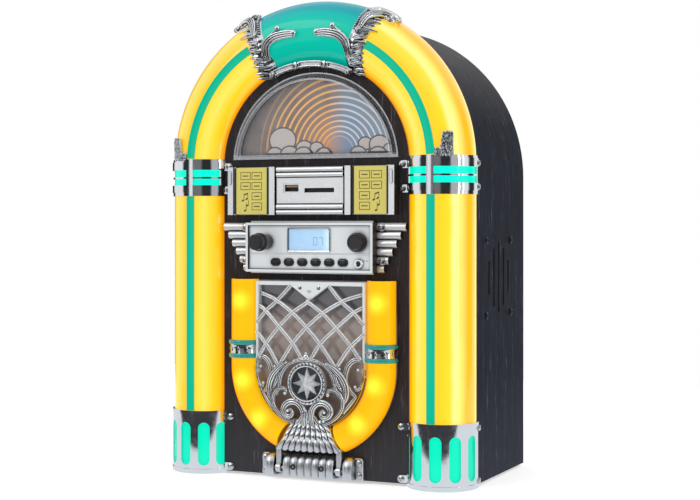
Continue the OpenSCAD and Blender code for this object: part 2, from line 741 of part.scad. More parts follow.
module main_board() color("#1f6b3a") {
    box([-60, 60], [15, 16.6], [-110, -40]);
    for (x = [-52, 52], q = [-104, -46]) translate([x, front_y - q, 11.05]) cylinder(h = 5, r = 3, $fn = 32);
    for (x = [-30, -14]) translate([x, front_y + 60, 16]) cylinder(h = 22, r = 6.5);
    box([10, 50], [16, 40], [-70, -66]);
    box([-50, -20], [16, 22], [-100, -80]);
}

module rocker_place() translate([40, front_y + 131, 60]) rotate([8, 0, 0]) children();

module rear_jack_plate() color("#1a1a1c") difference() {
    union() {
        box([18, 102], [38, 82], [-rear_q - rear_t - 2.6, -rear_q - rear_t - gap]);
        box([30.5, 49.5], [47, 73], [-rear_q - rear_t - 1, -rear_q + 14]);
        peg(66, 60, 4.2, -rear_q - rear_t - 4.6, -rear_q + 6);
        peg(86, 60, 5.5, -rear_q - rear_t - 4.2, -rear_q + 6);
    }
    box([33, 47], [49.5, 70.5], [-rear_q - rear_t - 4, -rear_q + 12]);
    peg(66, 60, jack_bore_r, -rear_q - rear_t - 6, -rear_q + 4);
    difference() {
        peg(86, 60, 3.1, -rear_q - rear_t - 6, -rear_q + 4);
        peg(86, 60, 1, -rear_q - rear_t - 3, -rear_q + 5);
    }
}

module power_rocker() color("#b3201c") rocker_place() {
    translate([-6.6, 0, 0]) rotate([90, 0, 90]) linear_extrude(13.2)
        polygon([[-4, -4], [1, -9.2], [5.2, -9.2], [3.9, 0], [5.2, 9.2], [1, 9.2], [-4, 4]]);
    rotate([0, 90, 0]) cylinder(h = 13.8, r = 1.5, center = true, $fn = 32);
}

cabinet_shell();
front_panel();
rear_panel();
base_panel();
rubber_feet();
screws();
column_tube(-1);  // column_tube_left
column_tube(1);  // column_tube_right
arch_tube(-1);  // arch_tube_left
arch_tube(1);  // arch_tube_right
tube_stripes();
crown_lens();
crown_ornament();
collar(-1);  // collar_left
collar(1);  // collar_right
collar_lenses();
foot(-1);  // foot_left
foot(1);  // foot_right
foot_lenses();
led_strips();
window_cover();
artwork_panel();
selector_frame();
title_card(-1);  // title_card_left
title_card(1);  // title_card_right
port_plate();
media_board();
radio_fascia();
wing(-1);  // wing_left
wing(1);  // wing_right
display();
control_board();
volume_knob();
tuning_knob();
button(1);  // button_1
button(2);  // button_2
button(3);  // button_3
button(4);  // button_4
button(5);  // button_5
button(6);  // button_6
door_panel();
door_grille();
door_tube(-1);  // door_tube_left
door_tube(1);  // door_tube_right
tube_rings();
door_led_strips();
hinge_bracket();
hinge_pins();
cd_tray();
turntable();
laser_sled();
sled_gear();
speaker(-1);  // speaker_left
speaker(1);  // speaker_right
cone(-1);  // cone_left
cone(1);  // cone_right
main_board();
rear_jack_plate();
power_rocker();
latch_plunger();
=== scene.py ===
import json
import math
import random

import bmesh
import bpy
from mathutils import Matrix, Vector


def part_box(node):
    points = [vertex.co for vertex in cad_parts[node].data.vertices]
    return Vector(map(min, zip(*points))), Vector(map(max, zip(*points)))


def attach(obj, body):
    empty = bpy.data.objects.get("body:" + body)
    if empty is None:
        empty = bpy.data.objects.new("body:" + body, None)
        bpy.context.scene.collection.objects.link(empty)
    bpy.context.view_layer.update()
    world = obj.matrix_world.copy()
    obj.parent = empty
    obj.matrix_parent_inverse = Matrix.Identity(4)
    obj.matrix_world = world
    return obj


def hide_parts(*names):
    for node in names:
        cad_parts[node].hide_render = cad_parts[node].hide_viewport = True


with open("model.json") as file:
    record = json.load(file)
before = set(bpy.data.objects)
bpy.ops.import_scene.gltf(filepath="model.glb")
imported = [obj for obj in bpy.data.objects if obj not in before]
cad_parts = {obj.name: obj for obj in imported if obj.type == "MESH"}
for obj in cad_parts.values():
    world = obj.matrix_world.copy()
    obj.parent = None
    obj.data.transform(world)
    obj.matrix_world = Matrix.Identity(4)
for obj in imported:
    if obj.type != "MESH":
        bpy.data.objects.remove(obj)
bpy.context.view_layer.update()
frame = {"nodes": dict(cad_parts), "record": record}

# Lengths are in millimetres, in the row frame: X to the right, Z up. q is how far a point stands in
# front of the cabinet's front face, so its Y is FRONT - q. Shape.piece() turns them into metres.
MM = 0.001
RNG = random.Random(7)


def box_mm(node):
    low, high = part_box(node)
    return low / MM, high / MM


FRONT = box_mm("front_panel")[0].y
OUT = Vector((0, -1, 0))


def at(x, q, z):
    return Vector((x, FRONT - q, z))


def q_of(node):
    """How far the front of a CAD node stands in front of the cabinet."""
    return FRONT - box_mm(node)[0].y


# ---- places taken from the frame ----

TUBE_LOW, TUBE_HIGH = box_mm("column_tube_right")
TUBE_R = 26.2
TUBE_X = TUBE_HIGH.x - TUBE_R
TUBE_Q = FRONT - TUBE_LOW.y - TUBE_R
ARCH_Z = box_mm("crown_lens")[1].z - TUBE_HIGH.x
DISC_Z = box_mm("door_panel")[1].z - 69.5
DOOR_TUBE_R = 11.8
DOOR_TUBE_X = box_mm("door_tube_right")[1].x - DOOR_TUBE_R
DOOR_FACE = q_of("door_tube_right") - DOOR_TUBE_R
GRILLE_HIGH = box_mm("door_grille")[1]
SELECTOR_LOW, SELECTOR_HIGH = box_mm("selector_frame")
SHELL_HIGH = box_mm("cabinet_shell")[1]
SHELL_ARCH_Z = SHELL_HIGH.z - SHELL_HIGH.x
WINDOW_R = 73
WINDOW_LOW, WINDOW_HIGH = box_mm("window_cover")
WINDOW_Z = WINDOW_HIGH.z - WINDOW_R


# ---- looks ----

def srgb(r, g, b):
    """A display colour, 0 to 255, as the linear RGBA that nodes use."""
    linear = [c / 255 / 12.92 if c <= 10 else ((c / 255 + 0.055) / 1.055) ** 2.4 for c in (r, g, b)]
    return (*linear, 1)


def tones(*stops):
    """Colour ramp stops, from (place, r, g, b) rows."""
    return [(place, srgb(*rgb)) for place, *rgb in stops]


class Nodes:
    """A node tree, and short calls that add nodes to it."""

    def __init__(self, tree):
        self.nodes = tree.nodes
        self.links = tree.links

    def put(self, socket, value):
        if isinstance(value, bpy.types.NodeSocket):
            self.links.new(value, socket)
        else:
            socket.default_value = value

    def add(self, kind, output=0, **inputs):
        made = self.nodes.new("ShaderNode" + kind)
        for key, value in inputs.items():
            self.put(made.inputs[key.replace("_", " ")], value)
        return made.outputs[output]

    def math(self, operation, first, second=0.0, clamp=False):
        made = self.nodes.new("ShaderNodeMath")
        made.operation = operation
        made.use_clamp = clamp
        self.put(made.inputs[0], first)
        self.put(made.inputs[1], second)
        return made.outputs[0]

    def ramp(self, factor, stops):
        made = self.nodes.new("ShaderNodeValToRGB")
        self.put(made.inputs[0], factor)
        elements = made.color_ramp.elements
        while len(elements) < len(stops):
            elements.new(1)
        for element, (place, colour) in zip(elements, stops):
            element.position = place
            element.color = colour
        return made.outputs[0]

    def mix(self, factor, first, second):
        made = self.nodes.new("ShaderNodeMix")
        made.data_type = "RGBA"
        self.put(made.inputs[0], factor)
        self.put(made.inputs[6], first)
        self.put(made.inputs[7], second)
        return made.outputs[2]

    def blend(self, factor, first, second):
        """Mixes two shaders."""
        made = self.nodes.new("ShaderNodeMixShader")
        for socket, value in zip(made.inputs, (factor, first, second)):
            self.put(socket, value)
        return made.outputs[0]

    def reach(self, first, second):
        """Distance from the origin of a plane, from its two coordinates."""
        squares = [self.math("MULTIPLY", value, value) for value in (first, second)]
        return self.math("SQRT", self.math("ADD", *squares))

    def split(self, vector):
        made = self.nodes.new("ShaderNodeSeparateXYZ")
        self.put(made.inputs[0], vector)
        return made.outputs

    def range(self, value, low, high, to_low=0.0, to_high=1.0):
        made = self.nodes.new("ShaderNodeMapRange")
        for socket, number in zip(made.inputs, (value, low, high, to_low, to_high)):
            self.put(socket, number)
        return made.outputs[0]


class Look(Nodes):
    """A material, with calls that set its shader and read its surface."""

    def __init__(self, name):
        self.name = name
        self.mat = bpy.data.materials.new(name)
        self.mat.use_nodes = True
        super().__init__(self.mat.node_tree)
        self.shader = self.nodes["Principled BSDF"]
        self.coords = self.add("TexCoord", "Object")

    def noise(self, scale, detail=2.0, stretch=(1, 1, 1), vector=None):
        mapped = self.add("Mapping", Vector=vector or self.coords, Scale=stretch)
        return self.add("TexNoise", Vector=mapped, Scale=scale, Detail=detail)

    def place(self):
        """The x, y and z of a point of the surface, in metres."""
        return self.split(self.coords)

    def sideways(self):
        """How squarely the surface faces left or right, 0 to 1."""
        return self.math("ABSOLUTE", self.split(self.add("NewGeometry", "Normal"))[0])

    def bump(self, height, distance, strength):
        normal = self.add("Bump", Height=height, Distance=distance, Strength=strength)
        self.put(self.shader.inputs["Normal"], normal)

    def occlusion(self, distance):
        """How open the surface is here: 1 in the open, less in crevices about this wide (metres)."""
        shade = self.nodes.new("ShaderNodeAmbientOcclusion")
        shade.samples = 6
        shade.inputs["Distance"].default_value = distance
        return shade.outputs["AO"]

    def set(self, **inputs):
        for key, value in inputs.items():
            self.put(self.shader.inputs[key.replace("_", " ")], value)
        return self

    def show(self, shader):
        """Makes a shader the material's surface."""
        self.put(self.nodes["Material Output"].inputs["Surface"], shader)


def finish_look(name, colour, rough, metal=0.0, wear=0.08, grain=900.0, shade=0.92, coat=0.0):
    """A moulded or plated finish: colour and roughness drift slightly with a fine noise."""
    look = Look(name)
    drift = look.noise(grain, 3)
    darker = tuple(c * shade for c in colour[:3]) + (1,)
    look.set(
        Base_Color=look.mix(drift, darker, colour),
        Roughness=look.range(drift, 0.3, 0.7, max(rough - wear, 0.02), rough + wear),
        Metallic=metal,
        Coat_Weight=coat,
    )
    return look


def vinyl_look():
    """Black wood-grain vinyl: streaks run up the sides and follow the arch over the top; faces turned to the
    side are painted darker and bluish as shade, and the bottom is painted lighter as light from the floor.
    """
    look = Look("black_vinyl")
    x, y, z = look.place()
    above = look.math("SUBTRACT", z, SHELL_ARCH_Z * MM)
    over = look.math("MAXIMUM", above, 0)
    wide = look.math("ABSOLUTE", x)
    turn = look.math("ARCTAN2", over, wide)
    along = look.math("ADD", look.math("MINIMUM", above, 0), look.math("MULTIPLY", turn, 0.125))
    reach = look.reach(x, over)
    front = look.math("LESS_THAN", y, (FRONT + 0.5) * MM)
    across = look.mix(front, reach, x)
    along = look.mix(front, along, z)
    grain_at = look.add("CombineXYZ", X=across, Y=y, Z=along)
    fine = look.noise(1500, 3, (1, 1, 0.045), grain_at)
    broad = look.noise(190, 2, (1, 1, 0.08), grain_at)
    streak = look.math("MULTIPLY", look.range(fine, 0.52, 0.72), look.range(broad, 0.4, 0.7))
    # Painted shade: faces turned to the side take the darker bluish ramp.
    side_shade_share = look.range(look.sideways(), 0.6, 0.95)
    ahead = look.ramp(streak, tones((0, 44, 41, 43), (0.4, 66, 62, 65), (1, 112, 109, 114)))
    side_shade_tone = look.ramp(streak, tones((0, 25, 28, 39), (0.4, 50, 54, 68), (1, 122, 128, 146)))
    colour = look.mix(side_shade_share, ahead, side_shade_tone)
    # Painted light from the floor: the colour lightens towards the bottom.
    look.set(
        Base_Color=look.mix(look.range(z, 0.09, 0, 0, 0.3), colour, srgb(74, 75, 86)),
        Roughness=look.range(fine, 0.3, 0.7, 0.4, 0.6),
        Specular_IOR_Level=look.range(side_shade_share, 0, 1, 0.14, 0.02),
    )
    look.bump(fine, 0.0004, 0.5)
    return look


def tube_turn(look):
    """How far round the corner tube a point is, as a share: 0 at the side edge, 1 at the inner edge."""
    x, y, z = look.place()
    up = look.math("MAXIMUM", look.math("SUBTRACT", z, ARCH_Z * MM), 0)
    reach = look.reach(x, up)
    outward = look.math("SUBTRACT", reach, TUBE_X * MM)
    forward = look.math("SUBTRACT", (FRONT - TUBE_Q) * MM, y)
    turn = look.math("ARCTAN2", forward, outward)
    return look.range(turn, math.radians(-38), math.radians(154)), look.math("GREATER_THAN", x, 0)


# Bands round the amber tubes, from the side edge to the inner edge, on the right and on the left: the glow of
# the lit tube with painted highlights in the pale bands and painted shade in the deeper ones, the two sides
# painted as differently lit.
RIGHT_GLOW_AND_HIGHLIGHTS = tones(
    (0.0, 255, 214, 60), (0.14, 255, 226, 90), (0.22, 252, 190, 24), (0.33, 250, 182, 24),
    (0.4, 255, 224, 96), (0.455, 255, 236, 140), (0.5, 255, 212, 40), (0.6, 252, 198, 34),
    (0.72, 255, 212, 66), (0.8, 255, 214, 84), (0.86, 255, 200, 14), (0.93, 250, 180, 10),
    (1.0, 224, 116, 8),
)
LEFT_GLOW_AND_HIGHLIGHTS = tones(
    (0.0, 224, 130, 14), (0.16, 242, 156, 22), (0.26, 252, 188, 34), (0.36, 255, 216, 72),
    (0.48, 253, 204, 60), (0.6, 250, 192, 40), (0.7, 255, 206, 34), (0.8, 255, 220, 92),
    (0.88, 255, 204, 20), (0.95, 252, 190, 10), (1.0, 230, 130, 8),
)


def column_look():
    """Lit amber tube: long bands run along it, the pale ones painted highlights and the deeper ones painted
    shade, orange where it turns away.
    """
    look = Look("amber_plastic")
    share, right = tube_turn(look)
    cloud = look.noise(40, 2)
    share = look.math("ADD", share, look.math("MULTIPLY", look.math("SUBTRACT", cloud, 0.5), 0.03))
    # Painted highlights and shade: each side takes its own lit ramp of bands.
    colour = look.mix(right, look.ramp(share, LEFT_GLOW_AND_HIGHLIGHTS), look.ramp(share, RIGHT_GLOW_AND_HIGHLIGHTS))
    facing = look.add("LayerWeight", 1, Blend=0.3)
    colour = look.mix(look.range(facing, 0.6, 1, 0, 0.55), colour, srgb(240, 130, 4))
    dim = look.mix(0.45, colour, srgb(60, 24, 0))
    look.set(
        Base_Color=dim,
        Emission_Color=colour,
        Emission_Strength=0.72,
        Roughness=look.range(cloud, 0.3, 0.7, 0.16, 0.22),
        Coat_Weight=0.5,
        Coat_Roughness=0.05,
    )
    return look


AMBER_STOPS = tones(
    (0.0, 255, 196, 14), (0.35, 254, 186, 8), (0.62, 250, 168, 4),
    (0.84, 240, 132, 8), (1.0, 214, 92, 4),
)


def amber_look(name, spots, power):
    """Lit amber plastic: orange where it turns away, brighter yellow round each lamp spot behind it."""
    look = Look(name)
    facing = look.add("LayerWeight", 1, Blend=0.42)
    colour = look.ramp(facing, AMBER_STOPS)
    glow = 0.0
    for spot in spots:
        gap = look.nodes.new("ShaderNodeVectorMath")
        gap.operation = "DISTANCE"
        look.put(gap.inputs[0], look.coords)
        gap.inputs[1].default_value = spot * MM
        near = look.range(gap.outputs["Value"], 0.001, 0.012, 1, 0)
        glow = look.math("MAXIMUM", glow, look.math("POWER", near, 1.5))
    colour = look.mix(glow, colour, srgb(255, 240, 60))
    cloud = look.noise(60, 2)
    look.set(
        Base_Color=look.mix(0.55, colour, srgb(60, 24, 0)),
        Emission_Color=colour,
        Emission_Strength=look.math("ADD", power, look.math("MULTIPLY", glow, 0.35)),
        Roughness=look.range(cloud, 0.3, 0.7, 0.16, 0.24),
        Specular_IOR_Level=0.14,
        Coat_Weight=0.03,
        Coat_Roughness=0.06,
    )
    return look


def lit_look(name, colour, deep, power):
    """Glossy coloured plastic that glows a little, deeper where it turns away."""
    look = Look(name)
    facing = look.add("LayerWeight", 1, Blend=0.4)
    cloud = look.noise(45, 2)
    shade = look.mix(look.math("MULTIPLY", facing, look.range(cloud, 0.2, 0.8, 0.7, 1)), colour, deep)
    look.set(
        Base_Color=look.mix(0.6, shade, (0, 0, 0, 1)),
        Emission_Color=shade,
        Emission_Strength=power,
        Roughness=0.18,
        Specular_IOR_Level=0.2,
        Coat_Weight=0.06,
    )
    return look


def crown_look():
    """Teal crown lens, lit from inside: soft bands follow the arch, a painted highlight across the middle of
    the tube and painted shade towards its outer rim.
    """
    look = Look("crown_teal")
    x, _, z = look.place()
    up = look.math("SUBTRACT", z, ARCH_Z * MM)
    reach = look.reach(x, up)
    share = look.range(reach, 0.082, 0.1315)
    ripple = look.noise(14, 1, (1, 1, 1))
    drift = look.math("ADD", share, look.math("MULTIPLY", look.math("SUBTRACT", ripple, 0.5), 0.05))
    # Painted highlight across the middle of the tube, painted shade towards its outer rim.
    colour = look.ramp(drift, tones(
        (0.0, 0, 168, 148), (0.3, 0, 190, 166), (0.62, 2, 196, 170),
        (0.78, 0, 184, 176), (0.86, 0, 162, 170), (1.0, 0, 150, 165),
    ))
    look.set(
        Base_Color=look.mix(0.6, colour, (0, 0, 0, 1)),
        Emission_Color=colour,
        Emission_Strength=0.7,
        Roughness=0.15,
        Specular_IOR_Level=0.22,
        Coat_Weight=0.08,
    )
    return look


def glass_look():
    """Clear moulding: see-through face on, whiter and glossier at its edges, with painted highlight lines
    round its bevel rings and along its bottom.
    """
    look = Look("clear_window")
    facing = look.add("LayerWeight", 1, Blend=0.3)
    haze = look.noise(120, 2)
    sheen = look.mix(haze, srgb(225, 228, 232), srgb(248, 250, 252))
    gloss = look.add("BsdfGlossy", Color=sheen, Roughness=0.05)
    x, _, z = look.place()
    up = look.math("SUBTRACT", z, WINDOW_Z * MM)
    reach = look.reach(x, up)
    # Painted highlights: the glass turns more glossy in thin rings on its bevel and in a band along its
    # bottom.
    inner = look.math("MULTIPLY", look.range(reach, 0.0668, 0.0673), look.range(reach, 0.0687, 0.0682))
    rim = look.math("MAXIMUM", inner, look.range(reach, 0.0717, 0.0722))
    rim = look.math("MAXIMUM", rim, look.range(z, (WINDOW_LOW.z + 3.4) * MM, (WINDOW_LOW.z + 3) * MM, 0, 0.7))
    see = look.range(facing, 0.05, 0.95, 0.03, 0.4)
    share = look.math("ADD", see, look.math("MULTIPLY", rim, 0.3), clamp=True)
    look.show(look.blend(share, look.add("BsdfTransparent"), gloss))
    return look


# Centre of the printed rings, in metres.
RINGS_X = 0.0205
RINGS_Z = 0.2625


def artwork_look():
    """Printed sky: rings round a point low on the right, warm on the left and blue on the right."""
    look = Look("artwork")
    x, _, z = look.place()
    right = look.math("SUBTRACT", x, RINGS_X)
    up = look.math("SUBTRACT", z, RINGS_Z)
    reach = look.reach(right, up)
    spread = look.math("POWER", look.math("MULTIPLY", reach, 1000), 0.75)
    wave = look.math("SINE", look.math("MULTIPLY", spread, 4.2))
    line = look.math("MULTIPLY", look.range(wave, 0.3, 0.8), look.range(reach, 0.011, 0.013))
    line = look.math("MULTIPLY", line, look.range(reach, 0.074, 0.056))
    side = look.range(right, -0.01, 0.006)
    warm = look.ramp(look.range(reach, 0.008, 0.075), tones(
        (0, 214, 148, 108), (0.4, 140, 112, 102), (1, 104, 96, 96),
    ))
    cool = look.ramp(look.range(reach, 0.008, 0.06), tones(
        (0, 112, 146, 184), (0.55, 126, 150, 176), (1, 142, 140, 144),
    ))
    ground = look.mix(side, warm, cool)
    ink = look.mix(side, srgb(255, 192, 96), srgb(216, 224, 232))
    mottle = look.noise(90, 4)
    ground = look.mix(look.range(mottle, 0.3, 0.8, 0, 0.35), ground, srgb(168, 160, 156))
    look.set(Base_Color=look.mix(line, ground, ink), Roughness=0.5)
    return look


def cast_look(name, colour, rough, crevice_shade, depth=0.0022, metal=1.0):
    """Plated casting: bright metal, with painted shade darkening its crevices."""
    look = Look(name)
    drift = look.noise(240, 3)
    # Painted shade: the surface takes the dark colour where it is closed in.
    open_share = look.range(look.occlusion(depth), 0.3, 0.92)
    look.set(
        Base_Color=look.mix(open_share, crevice_shade, colour),
        Metallic=metal,
        Roughness=look.range(drift, 0.3, 0.7, rough - 0.04, rough + 0.05),
    )
    return look


def ridge_look(name, colour, crevice_shade, rough, metal):
    """Silver plastic with painted shade: darker in its grooves and dark on its end faces."""
    look = Look(name)
    drift = look.noise(240, 3)
    # Painted shade: faces turned to the side go dark brown and lose their metal.
    ends = look.range(look.sideways(), 0.6, 0.9)
    tone = look.mix(look.range(look.occlusion(0.003), 0.4, 0.95), crevice_shade, colour)
    look.set(
        Base_Color=look.mix(ends, tone, srgb(44, 38, 36)),
        Roughness=look.range(drift, 0.3, 0.7, rough - 0.04, rough + 0.04),
        Metallic=look.range(ends, 0, 1, metal, 0),
    )
    return look


def lcd_look():
    """Lit display: pale blue, greener towards its right end."""
    look = Look("lcd_glass")
    x, _, _ = look.place()
    glow = look.range(x, -0.019, 0.019)
    colour = look.ramp(glow, tones((0, 148, 180, 212), (0.8, 154, 188, 216), (1, 196, 222, 226)))
    haze = look.noise(200, 2)
    look.set(
        Base_Color=colour,
        Emission_Color=colour,
        Emission_Strength=look.range(haze, 0.3, 0.7, 0.4, 0.46),
        Roughness=0.15,
    )
    return look


def smoke_look():
    """Smoked panel behind the lattice: dark at the top, milky brown below where it mirrors the room."""
    look = Look("smoked_plastic")
    _, _, z = look.place()
    cloud = look.noise(26, 2, (1, 1, 0.7))
    height = look.math("ADD", look.range(z, 0.05, 0.155), look.math("MULTIPLY", cloud, 0.3))
    colour = look.ramp(height, tones(
        (0.1, 112, 97, 85), (0.55, 158, 143, 135), (0.85, 164, 151, 145), (1, 100, 98, 102),
    ))
    rough = look.range(cloud, 0.3, 0.7, 0.1, 0.2)
    look.set(Base_Color=colour, Roughness=rough, Metallic=0.15, Coat_Weight=0.5)
    return look


CHROME = (226, 229, 233)

# Plain finishes: colour, roughness, then metal, wear, grain, shade and coat where they aren't the usual.
FINISHES = {
    "black_board": ((38, 36, 36), 0.75, 0, 0.08, 500),
    "black_plastic": ((36, 36, 40), 0.4),
    "black_screw": ((34, 35, 40), 0.3, 0.6, 0.1, 500),
    "card_print": ((214, 202, 104), 0.55, 0, 0.08, 400, 0.95),
    "charcoal_plastic": ((34, 34, 38), 0.24, 0, 0.05, 400, 0.85),
    "chrome_trim": (CHROME, 0.1, 1, 0.04, 240, 0.96),
    "circuit_board": ((30, 100, 58), 0.45),
    "cloud": ((204, 196, 194), 0.6),
    "cloud_line": ((92, 88, 92), 0.6),
    "dark_chrome": ((84, 86, 92), 0.3, 0.8, 0.08, 300, 0.85),
    "ink": ((94, 70, 38), 0.6),
    "lcd_ink": ((128, 152, 178), 0.4),
    "led_board": ((226, 236, 214), 0.5),
    "ring_teal": ((22, 150, 142), 0.28, 0, 0.05, 900, 0.92, 0.4),
    "ring_trim": (CHROME, 0.12, 1, 0.04),
    "rocker_plastic": ((176, 32, 28), 0.35),
    "rubber": ((34, 34, 34), 0.8),
    "screw_steel": ((206, 206, 208), 0.2, 1, 0.05),
    "silver_plastic": ((226, 231, 234), 0.34, 0.12, 0.04, 60, 0.97),
    "speaker_metal": ((66, 66, 72), 0.4, 0.8),
    "speaker_paper": ((30, 30, 32), 0.85),
    "star_chrome": ((222, 225, 229), 0.3, 0.5, 0.05),
    "usb_tongue": ((150, 120, 96), 0.4),
    "white_plastic": ((228, 228, 222), 0.45),
}

# Places of the lamps behind the right door tube: x, z.
DOOR_LAMPS = [(60, 142.5), (57.8, 78.5), (43.1, 48)]
DOOR_LAMP_SPOTS = [at(s * x, DOOR_FACE + 10, z) for s in (-1, 1) for x, z in DOOR_LAMPS]

SPECIAL_LOOKS = [
    amber_look("door_amber", DOOR_LAMP_SPOTS, 0.62),
    artwork_look(),
    cast_look("cast_chrome", srgb(*CHROME), 0.12, srgb(40, 42, 48)),
    cast_look("lattice_chrome", srgb(232, 235, 238), 0.26, srgb(66, 66, 72), 0.002, 0.55),
    cast_look("satin_trim", srgb(206, 208, 212), 0.32, srgb(60, 62, 68), 0.003),
    cast_look("scroll_chrome", srgb(232, 235, 238), 0.2, srgb(46, 46, 52), 0.0016, 0.8),
    column_look(),
    crown_look(),
    glass_look(),
    lcd_look(),
    lit_look("aqua_lens", srgb(6, 252, 214), srgb(0, 210, 172), 0.85),
    lit_look("foot_lens", srgb(0, 230, 188), srgb(0, 190, 156), 0.8),
    lit_look("teal_plastic", srgb(0, 184, 146), srgb(0, 158, 132), 0.7),
    ridge_look("fascia_trim", srgb(226, 231, 234), srgb(150, 152, 156), 0.34, 0.12),
    ridge_look("ridge_trim", srgb(230, 232, 235), srgb(84, 82, 86), 0.24, 0.5),
    smoke_look(),
    vinyl_look(),
]

LOOKS = {look.name: look for look in SPECIAL_LOOKS}
for finish, (tone, *rest) in FINISHES.items():
    LOOKS[finish] = finish_look(finish, srgb(*tone), *rest)


# ---- shapes ----

def polar(r, degrees, x=0.0, z=0.0):
    """The (x, z) of a point at radius r and an angle from a centre."""
    a = math.radians(degrees)
    return x + r * math.cos(a), z + r * math.sin(a)


def circle(sides):
    """(cosine, sine) of evenly spaced angles round a circle."""
    return [(math.cos(a), math.sin(a)) for a in (2 * math.pi * k / sides for k in range(sides))]


def square_to(axis):
    """Two directions square to an axis and to each other."""
    side = axis.cross(Vector((0, 0, 1)) if abs(axis.z) < 0.9 else Vector((1, 0, 0))).normalized()
    return side, side.cross(axis)


def smooth_path(points, steps=6):
    """A Catmull-Rom curve through the points."""
    points = [Vector(p) for p in points]
    ends = [points[0] * 2 - points[1]] + points + [points[-1] * 2 - points[-2]]
    path = []
    for a, b, c, d in zip(ends, ends[1:], ends[2:], ends[3:]):
        for i in range(steps):
            t = i / steps
            bend = (2 * a - 5 * b + 4 * c - d) * t * t + (3 * b - a - 3 * c + d) * t ** 3
            path.append(0.5 * (2 * b + (c - a) * t + bend))
    return path + [points[-1]]


def along_list(values, t):
    """The value at share t of the way along a short list."""
    place = t * (len(values) - 1)
    i = min(int(place), len(values) - 2)
    return values[i] + (values[i + 1] - values[i]) * (place - i)


def ridged_section(ridges):
    """(side, height) points of a moulded strip: rounded ridges on top, flat underneath."""
    count = 6 * ridges
    top = []
    for k in range(count + 1):
        s = -1 + 2 * k / count
        ridge = abs(math.sin(math.pi * ridges * (s + 1) / 2)) ** 0.7
        crown = 1 - 0.45 * s * s
        top.append((s, crown * (0.45 + 0.55 * ridge) if 0 < k < count else 0.1))
    return top + [(0.92, -0.6), (-0.92, -0.6)]


class Shape:
    """Collects faces in millimetres and turns them into one piece."""

    def __init__(self):
        self.verts = []
        self.faces = []

    def add(self, verts, faces):
        start = len(self.verts)
        self.verts += [Vector(v) for v in verts]
        self.faces += [[start + i for i in face] for face in faces]
        return self

    def strip(self, rings, caps=True):
        """Joins closed rings of points, one after another, and closes both ends."""
        n = len(rings[0])
        faces = []
        for r in range(len(rings) - 1):
            for i in range(n):
                j = (i + 1) % n
                faces.append([r * n + i, r * n + j, (r + 1) * n + j, (r + 1) * n + i])
        if caps:
            faces.append(list(range(n - 1, -1, -1)))
            faces.append([(len(rings) - 1) * n + i for i in range(n)])
        return self.add([p for ring in rings for p in ring], faces)

    def ribbon(self, path, widths, height, ridges=2, normals=None):
        """A moulded strip along a path; its width runs through the list of widths."""
        section = ridged_section(ridges)
        rings = []
        last = len(path) - 1
        widest = max(widths)
        for i, p in enumerate(path):
            ahead = (path[min(i + 1, last)] - path[max(i - 1, 0)]).normalized()
            up = normals[i] if normals else OUT
            side = ahead.cross(up).normalized()
            up = side.cross(ahead)
            width = along_list(widths, i / last)
            tall = height * (0.35 + 0.65 * width / widest)
            rings.append([p + side * s * width / 2 + up * h * tall for s, h in section])
        return self.strip(rings)

    def tube(self, path, r, sides=8):
        rings = []
        last = len(path) - 1
        for i, p in enumerate(path):
            ahead = (path[min(i + 1, last)] - path[max(i - 1, 0)]).normalized()
            side = ahead.cross(OUT if abs(ahead.dot(OUT)) < 0.9 else Vector((0, 0, 1))).normalized()
            up = side.cross(ahead)
            rings.append([p + (side * c + up * s) * r for c, s in circle(sides)])
        return self.strip(rings)

    def turned(self, centre, axis, profile, sides=48, hollow=False):
        """A lathe shape: profile is (radius, distance along the axis) from the back to the front. A hollow
        one closes on its own start, as a ring does."""
        profile = profile + profile[:1] if hollow else profile
        axis = Vector(axis).normalized()
        side, up = square_to(axis)
        return self.strip([
            [centre + axis * d + (side * c + up * s) * max(r, 0.02) for c, s in circle(sides)]
            for r, d in profile
        ], caps=not hollow)

    def slab(self, outline, q0, q1, bevel):
        """An outline of (x, z) points made a plate from q0 out to q1, its front edge bevelled."""
        inner = inset(outline, bevel)
        return self.strip([
            [at(x, q0, z) for x, z in outline],
            [at(x, q1 - bevel, z) for x, z in outline],
            [at(x, q1, z) for x, z in inner],
        ])

    def ball(self, centre, radii, rows=6, sides=10, up=OUT):
        """A rounded bead; radii run sideways, crossways and along up."""
        up = Vector(up).normalized()
        side, other = square_to(up)
        rings = []
        for k in range(rows + 1):
            t = -math.pi / 2 + math.pi * k / rows
            r = max(math.cos(t), 0.03)
            middle = centre + up * math.sin(t) * radii[2]
            wide, deep = r * radii[0], r * radii[1]
            rings.append([middle + side * c * wide + other * s * deep for c, s in circle(sides)])
        return self.strip(rings)

    def both(self):
        """Adds the mirror image of everything so far, left for right."""
        start = len(self.verts)
        self.verts += [Vector((-v.x, v.y, v.z)) for v in self.verts]
        self.faces += [[start + i for i in reversed(face)] for face in self.faces]
        return self

    def piece(self, name, look, body="cabinet", replaces=(), sharp=38):
        mesh = bpy.data.meshes.new(name)
        mesh.from_pydata([v * MM for v in self.verts], [], self.faces)
        made = bmesh.new()
        made.from_mesh(mesh)
        bmesh.ops.recalc_face_normals(made, faces=made.faces)
        made.to_mesh(mesh)
        made.free()
        mesh.polygons.foreach_set("use_smooth", [True] * len(mesh.polygons))
        mesh.set_sharp_from_angle(angle=math.radians(sharp))
        mesh.materials.append(LOOKS[look].mat)
        ob = bpy.data.objects.new(name, mesh)
        bpy.context.scene.collection.objects.link(ob)
        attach(ob, body)
        if replaces:
            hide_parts(*replaces)
        return ob


